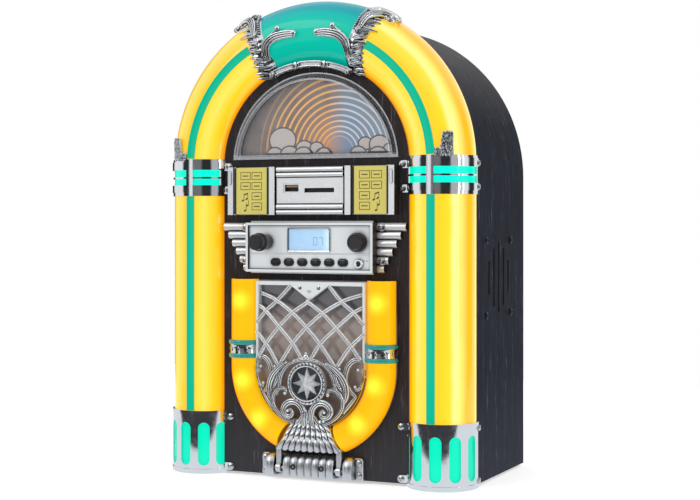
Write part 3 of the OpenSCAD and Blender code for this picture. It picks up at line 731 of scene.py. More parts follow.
def inset(outline, distance):
    """Moves each point of a closed outline inwards."""
    points = [Vector(p) for p in outline]
    area = sum(a.x * b.y - b.x * a.y for a, b in zip(points, points[1:] + points[:1]))
    turn = 1 if area > 0 else -1
    moved = []
    for i, p in enumerate(points):
        a = (p - points[i - 1]).normalized()
        b = (points[(i + 1) % len(points)] - p).normalized()
        normal = Vector((-a.y - b.y, a.x + b.x)) * turn
        if normal.length < 1e-6:
            normal = Vector((-a.y, a.x)) * turn
        normal.normalize()
        spread = max(normal.dot(Vector((-a.y, a.x)) * turn), 0.4)
        moved.append(p + normal * distance / spread)
    return moved


def rectangle(x0, x1, z0, z1, radius=0.0, steps=4):
    """The outline of a rectangle, its corners rounded if asked."""
    if radius <= 0:
        return [(x0, z0), (x1, z0), (x1, z1), (x0, z1)]
    corners = [(x1 - radius, z0 + radius, -90), (x1 - radius, z1 - radius, 0),
               (x0 + radius, z1 - radius, 90), (x0 + radius, z0 + radius, 180)]
    return [
        polar(radius, a + 90 * k / steps, cx, cz)
        for cx, cz, a in corners for k in range(steps + 1)
    ]


# ---- screws ----

def screw_head(shape, centre, axis, radius, tall):
    """A domed head with a sunk cross."""
    axis = Vector(axis)
    side, up = square_to(axis)
    twist = RNG.uniform(0, math.pi / 2)
    sides = 24
    rings = []
    for share in (1, 1, 0.93, 0.8, 0.62, 0.5, 0.4, 0.28, 0.16, 0.04):
        ring = []
        for k in range(sides):
            a = 2 * math.pi * k / sides
            across = sorted((abs(math.cos(a + twist)) * share, abs(math.sin(a + twist)) * share))
            in_cross = across[0] < 0.13 and across[1] < 0.55
            h = 0.0 if not rings else tall * (1 - 0.55 * share ** 2.4) - (0.42 * tall if in_cross else 0)
            ring.append(centre + axis * h + (side * math.cos(a) + up * math.sin(a)) * radius * share)
        rings.append(ring)
    shape.strip(rings)


# Front screws on the right half: x, z, and how far out each head starts.
EAR_SCREWS = [(76.8, 251, 1.4), (76.8, 232, 1.4), (75.5, 46.5, 1.4), (75.5, 5.8, 1.4)]
TRIM_SCREWS = [(60.3, 201.7, 4.5), (60.6, 175, 4.5), (41.3, 6.2, 5.1), (41.3, 16, 5.1), (33.2, 324.1, 8.3)]
# Side screws: depth behind the front face, z.
SIDE_SCREWS = [(16.4, 251.6), (16.4, 233.2), (17, 46.5), (17, 5.7)]
# Middle of each speaker, and its screws' distance from there: depth, z.
SPEAKER_AT = (72.5, 161.5)
SPEAKER_SCREW = (30.5, 29.7)
REAR_SCREW_X = 122.9
REAR_SCREW_Z = (30, 100, 170, 235)


def screws():
    shape = Shape()
    black = Shape()
    side_x = box_mm("screws")[1].x
    for s in (-1, 1):
        for x, z, q in EAR_SCREWS + TRIM_SCREWS:
            screw_head(shape, at(s * x, q, z), OUT, 2.5, 1.3)
        for depth, z in SIDE_SCREWS:
            screw_head(shape, at(s * (side_x - 1), -depth, z), (s, 0, 0), 2.3, 0.95)
        for dy in (-1, 1):
            for dz in (-1, 1):
                depth = SPEAKER_AT[0] + dy * SPEAKER_SCREW[0]
                z = SPEAKER_AT[1] + dz * SPEAKER_SCREW[1]
                screw_head(black, at(s * (side_x - 3.9), -depth, z), (s, 0, 0), 2.8, 1.6)
    back_y = box_mm("screws")[1].y
    spots = [(s * REAR_SCREW_X, z) for s in (-1, 1) for z in REAR_SCREW_Z]
    spots += [polar(REAR_SCREW_X, a, 0, SHELL_ARCH_Z) for a in (45, 90, 135)]
    spots += [(x, 6.5) for x in (-60, 60)]
    for x, z in spots:
        screw_head(black, Vector((x, back_y - 1.5, z)), (0, 1, 0), 2.4, 1.5)
    black.piece("black_screw_heads", "black_screw", sharp=30)
    shape.piece("screw_heads", "screw_steel", replaces=["screws"], sharp=30)


# ---- disc door ----

DOME_MIDDLE = Vector((0, 106))
DOME_R = 200
DOME_Q = 15.0


def dome_q(x, z):
    """The lattice bulges: how far out it stands at (x, z)."""
    away = (Vector((x, z)) - DOME_MIDDLE).length
    return DOME_Q - DOME_R + math.sqrt(DOME_R ** 2 - away ** 2)


# Bars of the lattice that rise to the right half's corner: x, z. The mirror image gives the others.
LATTICE = [
    [(46.6, 149.2), (37.5, 146.6), (28.4, 143), (13.2, 133.8), (0, 122.4), (-12, 109.5), (-24.6, 91.5)],
    [(-1.5, 143.3), (13.2, 133.8), (25, 122.4), (37.3, 108.4), (44.6, 97.5)],
    [(47, 139.2), (38.6, 134.6), (25, 122.4), (12, 109.5), (4, 97.5)],
    [(47.2, 118), (37.3, 108.4), (31, 100), (24.6, 90)],
    [(16.5, 155.5), (28.4, 143), (38.6, 134.6), (47.2, 125)],
]


def door_lattice():
    shape = Shape()
    for bar in LATTICE:
        path = [at(x, dome_q(x, z), z) for x, z in smooth_path(bar)]
        shape.ribbon(path, [3.3, 3.3], 1.4, 2)
    shape.both()
    shape.piece("door_lattice", "lattice_chrome", "door")


DOOR_EDGE = GRILLE_HIGH.x
DOOR_TOP = GRILLE_HIGH.z - 0.4


def door_border():
    """Flat silver frame round the lattice, with the V plate at the top."""
    edge, top = DOOR_EDGE, DOOR_TOP
    shape = Shape()
    for s in (-1, 1):
        rail = [(s * (edge - 2.4), 84), (s * edge, 84), (s * edge, top), (s * (edge - 2.4), top)]
        shape.slab(rail, DOOR_FACE, 9.2, 0.5)
    shape.slab(rectangle(-edge + 2.3, edge - 2.3, top - 3.2, top), DOOR_FACE, 9.2, 0.5)
    plate = [(0, 143.6), (16.8, top - 3), (16.8, top - 0.2), (-16.8, top - 0.2), (-16.8, top - 3)]
    shape.slab(plate, 6, 9.6, 0.4)
    shape.piece("door_border", "silver_plastic", "door", replaces=["door_grille"])
    rim = Shape()
    turn = [polar(edge, a, -0.9, DISC_Z) for a in range(-72, 4, 4)]
    rim.ribbon([at(x, 8.2, z) for x, z in turn], [2.6, 2.4], 1.6, 2)
    rim.both()
    rim.piece("door_rim", "cast_chrome", "door")
    marks = Shape()
    for s in (-1, 1):
        screw_head(marks, at(s * 8.2, 9.5, 153.6), OUT, 1.6, 0.6)
    marks.slab([(-2.4, 151.6), (2.4, 151.6), (0, 149)], 9.4, 9.8, 0.1)
    marks.piece("door_marks", "screw_steel", "door", sharp=30)


# Moulded strips on the right half of the door: (x, q, z) points, widths, height, ridges, end bulb.
DOOR_SCROLLS = [
    # Volute that rises from the waist and curls outwards under the medallion.
    ([(4.5, 11, 44), (3.4, 12, 50), (4.6, 12.6, 57.5), (9, 13, 62.4), (14.6, 13.2, 63), (19.4, 13.4, 60),
      (20.6, 13.6, 55.4), (18, 14, 51.8), (13.8, 14.2, 51.9), (12.4, 14.6, 55), (14.2, 15, 57.2),
      (16, 15.2, 56)], [3.4, 4.6, 5.6, 5.0, 3.8, 2.6, 1.6], 2.2, 3, 1.3),
    # Outer sweep: from the waist round to the curl beside the medallion.
    ([(12.6, 10.4, 45.6), (20, 11, 48.8), (26.6, 11.8, 54.2), (30.3, 12.4, 60.4), (30.2, 12.8, 67),
      (26.8, 13.2, 72), (21.6, 13.6, 73.6), (18.4, 14, 72), (18.8, 14.4, 69.6)],
     [3.2, 3.4, 3.6, 3.6, 3.2, 2.2], 2.0, 3, 1.4),
    # Leaves that climb from the sweep past the medallion and cross at its shoulder.
    ([(30, 12, 62), (33.4, 12.2, 68), (33.6, 12.6, 76), (30, 13.4, 84), (24, 14, 90), (17.4, 14.6, 94)],
     [2.6, 4.6, 5.4, 4.6, 2.6], 2.2, 3, 1.1),
    ([(27.5, 12, 68), (24.6, 13.2, 76), (22.8, 13.8, 84), (17.6, 14.6, 91.4), (10.4, 15.2, 96)],
     [2.2, 3.4, 3.8, 3.2, 2.0], 2.0, 3, 1.0),
    ([(30.4, 12.4, 73), (26.6, 13.6, 79.4), (25.4, 13.8, 86), (28.4, 13.2, 90.6)],
     [2.0, 3.0, 2.4, 1.6], 1.7, 2, 1.2),
    # Side loop against the frame, with its two curls.
    ([(46.2, 9, 97.2), (40, 9.6, 97.6), (34.8, 10.4, 93.2), (32.4, 11, 86), (33, 11, 79.4),
      (36.2, 10.6, 73.4), (41, 9.6, 68.6)], [2.6, 4.4, 4.6, 4.0, 3.6, 2.4], 2.0, 3, 0),
    ([(46.6, 8.8, 96), (47, 8.8, 91.6), (45, 9.2, 88.4), (42.8, 9.6, 90)], [2.0, 2.4, 1.6], 1.5, 2, 1.3),
    ([(45.8, 8.8, 80.4), (44.6, 9.2, 76), (41.4, 9.6, 74.2), (40.4, 10, 76.8)],
     [2.0, 2.6, 1.6], 1.5, 2, 1.3),
    ([(41, 9.4, 69), (36, 10.6, 62.6), (30.6, 11.4, 56)], [2.2, 3.0, 2.6], 1.6, 2, 0),
    # Stems that fill the neck above the waist.
    ([(1.8, 10.6, 46), (1.4, 11.8, 54), (4.4, 12.4, 60.6)], [3.2, 3.4, 2.4], 2.0, 2, 0),
    ([(9.4, 10.4, 45.4), (6.6, 11.2, 49.4), (2.6, 12, 56)], [3.0, 3.4, 2.6], 1.8, 2, 0),
]
# Strip over the medallion, from shoulder to shoulder, and the beads of the bud on it: x, z, radius.
SHOULDER = [(-19, 13.6, 89.4), (-12, 14.6, 94.8), (0, 15, 97.2), (12, 14.6, 94.8), (19, 13.6, 89.4)]
BUD = [(0, 99.4, 2.4), (-2.6, 97.8, 1.6), (2.6, 97.8, 1.6), (0, 102, 1.2)]


def scroll(shape, points, widths, height, ridges, bulb):
    """A moulded strip through (x, q, z) points, with a bulb at its end if asked."""
    path = smooth_path([at(*p) for p in points])
    shape.ribbon(path, widths, height, ridges)
    if bulb:
        shape.ball(path[-1] + OUT * 0.5, (bulb, bulb, bulb * 0.9))


def door_scrolls():
    shape = Shape()
    for strip in DOOR_SCROLLS:
        scroll(shape, *strip)
    shape.both()
    for x, z, r in BUD:
        shape.ball(at(x, 15.4, z), (r, r, r * 0.8))
    scroll(shape, SHOULDER, [1.8, 3.0, 3.4, 3.0, 1.8], 1.7, 3, 0)
    shape.piece("door_scrolls", "scroll_chrome", "door")


MEDALLION_Z = 78
STAR_POINTS = 8


def medallion():
    """Beaded ring round a dark field with a faceted star."""
    centre = at(0, 0, MEDALLION_Z)
    shape = Shape()
    ring = [(10, 11), (16.6, 11), (17.1, 12.6), (16.9, 14), (16.2, 14.4), (14.5, 14.4), (14.3, 15.8),
            (13.9, 16.2), (13.4, 15.8), (13.1, 12.6), (10, 12.4)]
    shape.turned(centre, OUT, ring, 72)
    for c, s in circle(30):
        shape.ball(centre + Vector((c * 15.5, -14.6, s * 15.5)), (1.25, 1.25, 1.1), 4, 8)
    shape.piece("medallion_ring", "scroll_chrome", "door")
    field = Shape()
    field.turned(centre, OUT, [(6, 11.6), (13.2, 11.6), (13.2, 12.8), (6, 13)], 48)
    field.piece("medallion_field", "dark_chrome", "door")
    star = Shape()
    count = STAR_POINTS * 2
    verts = [centre + OUT * 19.8]
    for k in range(count):
        a = math.pi * k / STAR_POINTS + math.pi / 2
        r, q = ((12.9 if k % 4 == 0 else 11.9), 14) if k % 2 == 0 else (6.3, 13.2)
        verts.append(centre + Vector((math.cos(a) * r, -q, math.sin(a) * r)))
    below = [v + Vector((0, 2, 0)) for v in verts[1:]]
    faces = [[0, 1 + k, 1 + (k + 1) % count] for k in range(count)]
    faces += [[1 + k, 1 + count + k, 1 + count + (k + 1) % count, 1 + (k + 1) % count] for k in range(count)]
    faces.append([1 + count + k for k in range(count)])
    star.add(verts + below, faces)
    star.piece("medallion_star", "star_chrome", "door", sharp=5)


def fluted(shape, z0, z1, half0, half1, q0, q1, ribs, deep, back):
    """A tier of rounded upright ribs between heights z0 and z1, leaning from q0 out to q1."""
    across = ribs * 8
    rows = 7
    rings = []
    for r in range(rows + 1):
        t = r / rows
        half = half0 + (half1 - half0) * t
        z = z0 + (z1 - z0) * t
        swell = math.sin(math.pi * min(max(t, 0.04), 0.96)) ** 0.45
        ring = []
        for k in range(across + 1):
            u = -1 + 2 * k / across
            rib = abs(math.sin(math.pi * k / 8)) ** 0.6
            q = q0 + (q1 - q0) * t + deep * rib * swell - 0.4 * deep
            sag = 0.8 * deep * rib * (1 if r == 0 else 0)
            ring.append(at(u * half, q - 1.3 * u * u, z - sag))
        ring += [at(half, back, z), at(-half, back, z)]
        rings.append(ring)
    shape.strip(rings)


# Axis of the door's hinge pins, and the arms that carry the door on them.
HINGE_ARM_X = 26.4
HINGE_Q = 10.0
HINGE_Z = 9.5


def door_waist():
    """Three fluted tiers below the lattice, then the skirt with the two hinge arms."""
    shape = Shape()
    fluted(shape, 44.4, 49.0, 16.6, 14.6, 12.0, 11.2, 9, 1.3, DOOR_FACE)
    fluted(shape, 38.8, 45.0, 20.6, 16.4, 12.4, 11.6, 9, 1.6, DOOR_FACE)
    fluted(shape, 33.0, 39.4, 23.4, 20.2, 13.4, 12.6, 9, 1.8, DOOR_FACE)
    shape.piece("door_waist", "cast_chrome", "door")
    skirt = Shape()
    fluted(skirt, 25.4, 33.6, 28.6, 23.4, 13.8, 13.2, 10, 2.0, DOOR_FACE)
    knuckle = [(3.0, 0), (3.6, 0.5), (3.6, 4.1), (3.0, 4.6)]
    for s in (-1, 1):
        left = s * HINGE_ARM_X - 2.3
        skirt.slab(rectangle(left, left + 4.6, 12, 27.4, 0.6, 2), 7.6, 11.4, 0.5)
        skirt.turned(at(left, HINGE_Q, HINGE_Z), (1, 0, 0), knuckle, 28)
    skirt.piece("door_skirt", "satin_trim", "door")


ROUND_BAND = [(0.2, 0), (1.2, 0), (1.75, 0.2), (2.0, 0.5), (1.75, 0.8), (1.2, 1), (0.2, 1)]
FLAT_BAND = [(0.2, 0), (0.9, 0), (0.9, 0.12), (0.6, 0.2), (0.6, 0.8), (0.9, 0.88), (0.9, 1), (0.2, 1)]
RING_INNER_X = 48.5


def tube_out(s, turn):
    """Outwards from the door tube on side s, turn degrees round from its outer edge."""
    a = math.radians(turn)
    return Vector((math.cos(a) * s, -math.sin(a), 0))


def tube_band(shape, s, z0, z1, profile):
    """A band round the door tube on side s: profile is (height off the tube, share of z0 to z1)."""
    rows = []
    for turn in range(-4, 185, 6):
        row = []
        for r, t in profile:
            middle = at(s * DOOR_TUBE_X, DOOR_FACE + 0.4, z0 + (z1 - z0) * t)
            p = middle + tube_out(s, turn) * (DOOR_TUBE_R + r)
            row.append(Vector((max(abs(p.x), RING_INNER_X) * s, min(p.y, FRONT - DOOR_FACE), p.z)))
        rows.append(row)
    shape.strip(rows)


def door_rings():
    """Teal and chrome bands round each door tube."""
    teal = Shape()
    chrome = Shape()
    for s in (-1, 1):
        tube_band(teal, s, 96.2, 99.9, ROUND_BAND)
        tube_band(teal, s, 107, 110.7, ROUND_BAND)
        tube_band(chrome, s, 99.7, 107.2, FLAT_BAND)
        for turn in range(24, 160, 33):
            out = tube_out(s, turn)
            middle = at(s * DOOR_TUBE_X, DOOR_FACE + 0.4, 103.4) + out * (DOOR_TUBE_R + 0.8)
            chrome.ball(middle, (0.8, 2.2, 0.4), 4, 8, out)
    teal.piece("door_ring_teal", "ring_teal", "door", replaces=["tube_rings"])
    chrome.piece("door_ring_chrome", "ring_trim", "door")


# ---- hinge bracket ----

# Side view of the bracket's ribbed barrel: q, z. Its spans: x0, x1, ribs.
BARREL = [(0.2, 3.2), (11.0, 3.2), (12.4, 4.6), (12.8, 8), (12.6, 13), (11.4, 16.6), (8.6, 19.2), (4, 19.8),
          (0.2, 19.8)]
BARREL_SPANS = [(-38, -30.2, 1), (-22, 22, 7), (30.2, 38, 1)]


def hinge_bracket():
    """Lower bracket: a flat plate with ribbed barrels between which the door's arms turn."""
    low, high = box_mm("hinge_bracket")
    shape = Shape()
    shape.slab(rectangle(-high.x, high.x, low.z, high.z, 2.4), 0.1, 4.9, 0.7)
    for x0, x1, ribs in BARREL_SPANS:
        rings = []
        steps = ribs * 8
        for k in range(steps + 1):
            x = x0 + (x1 - x0) * k / steps
            rib = abs(math.sin(math.pi * k / 8)) ** 0.55
            ring = []
            for q, z in BARREL:
                push = 1.4 * rib if q > 5 else 0
                ring.append(at(x, q + push * min((q - 4) / 8, 1), z + (0.9 * rib if z > 16 else 0)))
            rings.append(ring)
        shape.strip(rings)
    for s in (-1, 1):
        for z in (6.6, 10.4):
            shape.slab(rectangle(s * 26.1 - 4.2, s * 26.1 + 4.2, z - 1.2, z + 0.6), 4.6, 8.2, 0.2)
    shape.piece("hinge_bracket_body", "satin_trim", replaces=["hinge_bracket"])
    plugs = Shape()
    plug = [(2.4, 12), (2.4, 14), (2.0, 14.6), (1.0, 14.6), (1.0, 13.2), (0.4, 13.2)]
    for x in (-12.4, 12.4):
        plugs.turned(at(x, 0, 11.2), OUT, plug, 24)
    plugs.piece("hinge_plugs", "charcoal_plastic")


# ---- crown ornament ----

def on_tube(bend, turn, lift):
    """A point on the arch tube: bend degrees up the arch, turn degrees round its section from the outer
    edge towards the front, lift above its surface. Returns the point and its outward normal."""
    b = math.radians(bend)
    t = math.radians(turn)
    outward = Vector((math.cos(b), 0, math.sin(b)))
    normal = outward * math.cos(t) + OUT * math.sin(t)
    middle = at(TUBE_X * math.cos(b), TUBE_Q, ARCH_Z + TUBE_X * math.sin(b))
    return middle + normal * (TUBE_R + lift), normal


def tube_ribbon(shape, spots, widths, height, ridges, bulb=0.0):
    """A ribbon laid on the tube through (bend, turn, lift) spots, with a bulb at its end if asked."""
    pairs = [on_tube(*spot) for spot in smooth_path(spots)]
    shape.ribbon([p for p, _ in pairs], widths, height, ridges, [n for _, n in pairs])
    if bulb:
        end, normal = pairs[-1]
        shape.ball(end + normal * 0.6, (bulb, bulb, bulb))


# Middle of each strap, in degrees up the arch, where it runs round the tube, and how many lobes it has.
CROWN_BEND = 65
STRAP_FROM, STRAP_TO = 8, 152
STRAP_LOBES = 17
# Ribbons of the right strap: (bend, turn, lift) spots, widths, height, ridges, end bulb.
CROWN_RIBBONS = [
    # Arm that reaches in over the crown, its lower branch and its side bud.
    ([(67.2, 122, 1.6), (68.2, 109, 2.2), (70.2, 98, 2.8), (74, 92, 3), (79, 91.4, 3), (84, 93.4, 3)],
     [4.6, 6.8, 7.6, 7.4, 6.2], 2.2, 4, 0),
    ([(66.2, 118, 1.6), (68.2, 104, 2.2), (71, 93, 2.8), (74, 88, 3)], [3, 4.4, 3.6, 2.4], 2.0, 2, 0),
    ([(73.2, 88, 2.4), (75.6, 84, 2.8), (77.4, 79.5, 3.2)], [3.8, 3.2, 2.4], 1.8, 2, 2.3),
    # Scroll at the top that curls outwards over the amber tube.
    ([(66.2, 72, 2.4), (66.4, 56, 3), (65.4, 40, 3.4), (62.8, 27, 3.6), (59.8, 22, 3.2), (58, 27, 2.8),
      (58.8, 34, 2.8), (60.6, 33, 3)], [3.4, 5.8, 6.4, 5.8, 4.6, 3.2, 2], 2.4, 4, 1.5),
    ([(67.2, 34, 2.6), (65.4, 16, 2.8), (62.2, 8, 2.6), (58.6, 9, 2.4), (56.6, 17, 1.8)],
     [4.0, 5.4, 5.6, 4.6, 2.8], 2.2, 3, 1.6),
]
# Leaf tips on the strap's amber side: bend, turn, reach.
LEAF_TIPS = [(63, 50, 2.6), (62.6, 66, 3.4), (63, 80, 1.4), (62.6, 94, 1.8), (61.8, 108, 2.2),
             (60.8, 122, 2.6), (59.6, 134, 3), (58.8, 144, 3)]
# Segmented bar under the crown: spans in degrees, the radii of its two rails, and its section (r, q).
BAR_SPANS = [(81.8, 98.2), (63.6, 80.2), (99.8, 116.4)]
BAR_RAILS = (78.4, 82)
BAR_SECTION = [(77.3, 0.2), (77.3, 7.2), (77.9, 8.2), (78.9, 8.3), (79.2, 7.4), (81.0, 7.4), (81.3, 8.3),
               (82.2, 8.2), (82.9, 7.2), (82.9, 3.0), (82.9, 0.2)]
RAIL_R = 0.55


def crown_strap(shape):
    """The leafy strap over the tube at the end of the crown: a lobed sheet with feathered veins."""
    rows = 72
    across = 14
    rings = []
    for r in range(rows + 1):
        t = r / rows
        turn = STRAP_FROM + (STRAP_TO - STRAP_FROM) * t
        lobe = abs(math.sin(math.pi * t * STRAP_LOBES)) ** 0.7
        low = 63.4 - 5.4 * max(t - 0.52, 0) / 0.48 - 1.9 * lobe
        high = CROWN_BEND + 4.3 - 3.8 * max(0.25 - t, 0) / 0.25 - 1.2 * max(t - 0.85, 0) / 0.15
        ring = []
        for k in range(across + 1):
            u = k / across
            bend = low + (high - low) * u
            vein = abs(math.sin(math.pi * (t * STRAP_LOBES + (1 - u) * 1.1)))
            spine = math.exp(-((u - 0.7) / 0.2) ** 2)
            lift = 0.5 + 1.5 * vein * math.sin(math.pi * min(u + 0.12, 1)) + 1.4 * spine
            edge = 0.15 if k in (0, across) else lift
            ring.append(on_tube(bend, turn, edge)[0])
        ring += [on_tube(high, turn, 0.05)[0], on_tube(low, turn, 0.05)[0]]
        rings.append(ring)
    shape.strip(rings)


def crown_bar(shape):
    """The segmented bar under the crown, with a raised frame on each span and wedges between them."""
    for a0, a1 in BAR_SPANS:
        shape.strip([[on_arch(r, q, a) for r, q in BAR_SECTION] for a in arc_steps(a0, a1, 2)])
        low, high = a0 + 1.2, a1 - 1.2
        for r in BAR_RAILS:
            shape.tube([on_arch(r, 8.3, a) for a in arc_steps(low, high, 2)], RAIL_R)
        for a in (low, high):
            shape.tube([on_arch(r, 8.3, a) for r in BAR_RAILS], RAIL_R)
    for a in (81, 99):
        wedge = [(77.2, -1.3), (82.9, -0.6), (82.9, 0.6), (77.2, 1.3)]
        shape.slab([polar(r, a + d, 0, ARCH_Z) for r, d in wedge], 4, 9.2, 0.4)


def crown_ornament():
    shape = Shape()
    crown_strap(shape)
    # Rope edge on the crown side of the strap.
    for k in range(16):
        p, n = on_tube(68.4 - 2.2 * max(0.2 - k / 16, 0) / 0.2, 12 + 4.1 * k, 2.0)
        shape.ball(p, (1.7, 0.8, 1.3), 4, 8, n)
    # Beads at the end of the arm.
    for bend, turn, size in ((84.4, 92, 2.6), (84.2, 96, 1.9)):
        p, n = on_tube(bend, turn, 3)
        shape.ball(p, (size, size, size * 0.9), 6, 12, n)
    for ribbon in CROWN_RIBBONS:
        tube_ribbon(shape, *ribbon)
    for bend, turn, reach in LEAF_TIPS:
        tip = [(bend + 3.4, turn + 9, 2), (bend + 0.6, turn + 2, 2), (bend - reach, turn - 4, 0.9)]
        tube_ribbon(shape, tip, [2.4, 3.2, 0.8], 1.6, 2)
    shape.both()
    crown_bar(shape)
    shape.piece(
        "crown_ornament_cast", "cast_chrome", replaces=["crown_ornament"], sharp=50
    )
    strap_screws = Shape()
    for bend in (CROWN_BEND + 1.4, 180 - CROWN_BEND - 1.4):
        p, n = on_tube(bend, 74, 3.4)
        screw_head(strap_screws, p, n, 2.4, 1.2)
    strap_screws.piece("crown_screw_heads", "screw_steel", sharp=30)


def on_arch(r, q, a):
    """A point at radius r and angle a about the arch centre."""
    x, z = polar(r, a, 0, ARCH_Z)
    return at(x, q, z)


def arc_steps(a0, a1, step):
    """Angles from a0 to a1, about a step apart."""
    count = max(2, round(abs(a1 - a0) / step))
    return [a0 + (a1 - a0) * i / count for i in range(count + 1)]


# ---- collars ----

def on_column(turn, z, lift):
    """A point on the upright tube, turn measured like on_tube."""
    t = math.radians(turn)
    normal = Vector((math.cos(t), -math.sin(t), 0))
    return at(TUBE_X, TUBE_Q, z) + normal * (TUBE_R + lift), normal


COLLAR_TOP = 257.0
# Outline of the leaf on the collar: height above it, then the turns of its right and left edges.
LEAF_OUTLINE = [(-0.3, 52, 83), (3, 52, 83), (5, 52, 80), (6.2, 52.5, 72), (13, 53, 70), (16.4, 53.5, 69),
                (17.8, 57, 66)]


def collar_leaves():
    """Feathery leaf on top of each collar: small scales laid over one another in the shape of a boot."""
    top = COLLAR_TOP
    shape = Shape()
    rows = 20
    for r in range(rows):
        z = top + 0.3 + r * 0.9
        t = r / (rows - 1)
        right, left = (55, 81) if z < top + 5 else (54 - 0.5 * t, 73 - 5 * t)
        count = 14 if z < top + 6 else 8
        for k in range(count):
            turn = right + (left - right) * (k + 0.5 * (r % 2)) / (count - 1)
            p, n = on_column(turn, z, 1.3 + 0.5 * RNG.random())
            size = RNG.uniform(0.5, 0.85)
            lean = Vector((RNG.uniform(-0.7, 0.7), 0, 1))
            path = [p - lean * 1.2 * size, p + n * 0.6, p + lean * 1.5 * size + n * 0.2]
            shape.ribbon(path, [1.0 * size, 1.9 * size, 0.6], 1.0, 1, [n] * 3)
    back = []
    for above, right, left in LEAF_OUTLINE:
        turns = [right + (left - right) * k / 8 for k in range(9)]
        ring = [on_column(turn, top + above, 1.5)[0] for turn in turns]
        ring += [on_column(turn, top + above, 0.2)[0] for turn in reversed(turns)]
        back.append(ring)
    shape.strip(back)
    shape.both()
    shape.piece("collar_leaves", "cast_chrome", sharp=45)


# ---- radio ----

RIBBED = True


def middle_of(node):
    """x and z of the middle of a CAD node, and how far out its front is."""
    low, high = box_mm(node)
    return (low.x + high.x) / 2, (low.z + high.z) / 2, FRONT - low.y


def knob(node, profile):
    """A knob turned about its own axis, with a ribbed grip. Its profile is (radius, q, RIBBED if so)
    from the back, and q at or below 0 counts back from the knob's front."""
    x, z, front = middle_of(node)
    shape = Shape()
    rings = []
    for r, q, *ribbed in profile:
        ring = []
        for k, (c, s) in enumerate(circle(72)):
            reach = r - 0.28 if ribbed and k % 3 == 0 else r
            ring.append(at(x + reach * c, q if q > 0 else front + q, z + reach * s))
        rings.append(ring)
    shape.strip(rings)
    shape.turned(at(x, 0, z), OUT, [(3, -3), (3, 11.4)], 32)
    shape.piece(node + "_grip", "charcoal_plastic", node, replaces=[node])


VOLUME_PROFILE = [
    (4, 10.35), (5.8, 10.35), (6.1, 10.7), (6.1, 20.6, RIBBED), (6.6, 20.9), (7.1, 21.1), (7.3, 21.5),
    (7.3, 24), (7.0, 24.4), (6.5, 24.5), (6.5, 24.8, RIBBED), (6.45, -0.9, RIBBED), (6.2, -0.2), (5.7, 0),
    (5.2, -0.5), (0.3, -0.6),
]
TUNING_PROFILE = [
    (5, 10.35), (7.5, 10.35), (7.7, 10.8), (7.7, 11.2, RIBBED), (7.6, 15, RIBBED), (7.2, 15.5), (6.5, 15.8),
    (6.4, -0.6), (6.0, 0), (5.4, -0.1), (5.0, -0.45), (0.3, -0.5),
]
# Edge of a button cap: how much its outline grows, and how far it stands past the button's front.
CAP_EDGE = [(0, -1.1), (-0.25, -0.5), (-0.8, -0.12), (-1.7, 0.1), (-2.6, 0.16)]


def push_buttons():
    """Oval caps, each with a collar and a stem behind the fascia."""
    for i in range(1, 7):
        node = f"button_{i}"
        x, z, front = middle_of(node)
        shape = Shape()
        edges = [(0, 7.6)] + [(grow, front + past) for grow, past in CAP_EDGE]
        shape.strip([
            [at(x + px, q, z + pz) for px, pz in stadium_points(4.5 + grow, 3 + grow)]
            for grow, q in edges
        ])
        shape.strip([[at(x + px, q, z + pz) for px, pz in stadium_points(5.2, 3.7)] for q in (6.5, 7.6)])
        shape.turned(at(x, 0, z), OUT, [(1.5, -1.2), (1.5, 6.6)], 20)
        shape.piece(node + "_cap", "charcoal_plastic", node, replaces=[node])


def stadium_points(half_w, half_h):
    """An oval outline with straight long sides."""
    straight = half_w - half_h
    return [
        ((straight if math.cos(a) >= 0 else -straight) + half_h * math.cos(a), half_h * math.sin(a))
        for a in (math.radians(d + 5) for d in range(0, 360, 10))
    ]


# Seven-segment strokes: place of the stroke's corner in units of its length, then (x, z) run.
STROKE = 3
STROKE_W = 0.35
SEGMENTS = {"a": (0, 2, 1, 0), "b": (1, 1, 0, 1), "c": (1, 0, 0, 1), "d": (0, 0, 1, 0), "e": (0, 0, 0, 1),
            "f": (0, 1, 0, 1)}
DIGITS = {"0": "abcdef", "7": "abc"}
# Thin shaded lines just inside the raised border of the radio fascia: x0, x1, z0, z1.
FASCIA_GROOVES = [(-53.7, 53.7, 202.9, 203.35), (-53.7, 53.7, 168.05, 168.5), (-53.7, -53.2, 168.5, 202.9),
                  (53.2, 53.7, 168.5, 202.9)]
FASCIA_FACE = 10.0


def display_bezel():
    low, high = box_mm("display")
    outer = rectangle(low.x - 0.8, high.x + 0.8, low.z - 0.8, high.z + 0.8, 1.4)
    inner = rectangle(low.x + 0.6, high.x - 0.6, low.z + 0.6, high.z - 0.6, 0.8)
    crest = inset(outer, 0.5)
    loops = [(outer, -0.5), (outer, 0.5), (crest, 0.9), (inner, 0.4), (inner, -0.9), (outer, -0.5)]
    bezel = Shape()
    bezel.strip([[at(x, FASCIA_FACE + out, z) for x, z in loop] for loop, out in loops], caps=False)
    bezel.piece("display_bezel", "chrome_trim")


def display_digits():
    glass_q = q_of("display")
    digits = Shape()
    for place, digit in enumerate("07"):
        for segment in DIGITS[digit]:
            sx, sz, flat, tall = SEGMENTS[segment]
            x = 3.6 + place * 5 + sx * STROKE
            z = 187.5 + sz * STROKE
            wide = STROKE if flat else STROKE_W
            high = STROKE if tall else STROKE_W
            digits.slab(rectangle(x, x + wide, z, z + high), glass_q - 0.05, glass_q + 0.08, 0.02)
    digits.piece("display_digits", "lcd_ink")


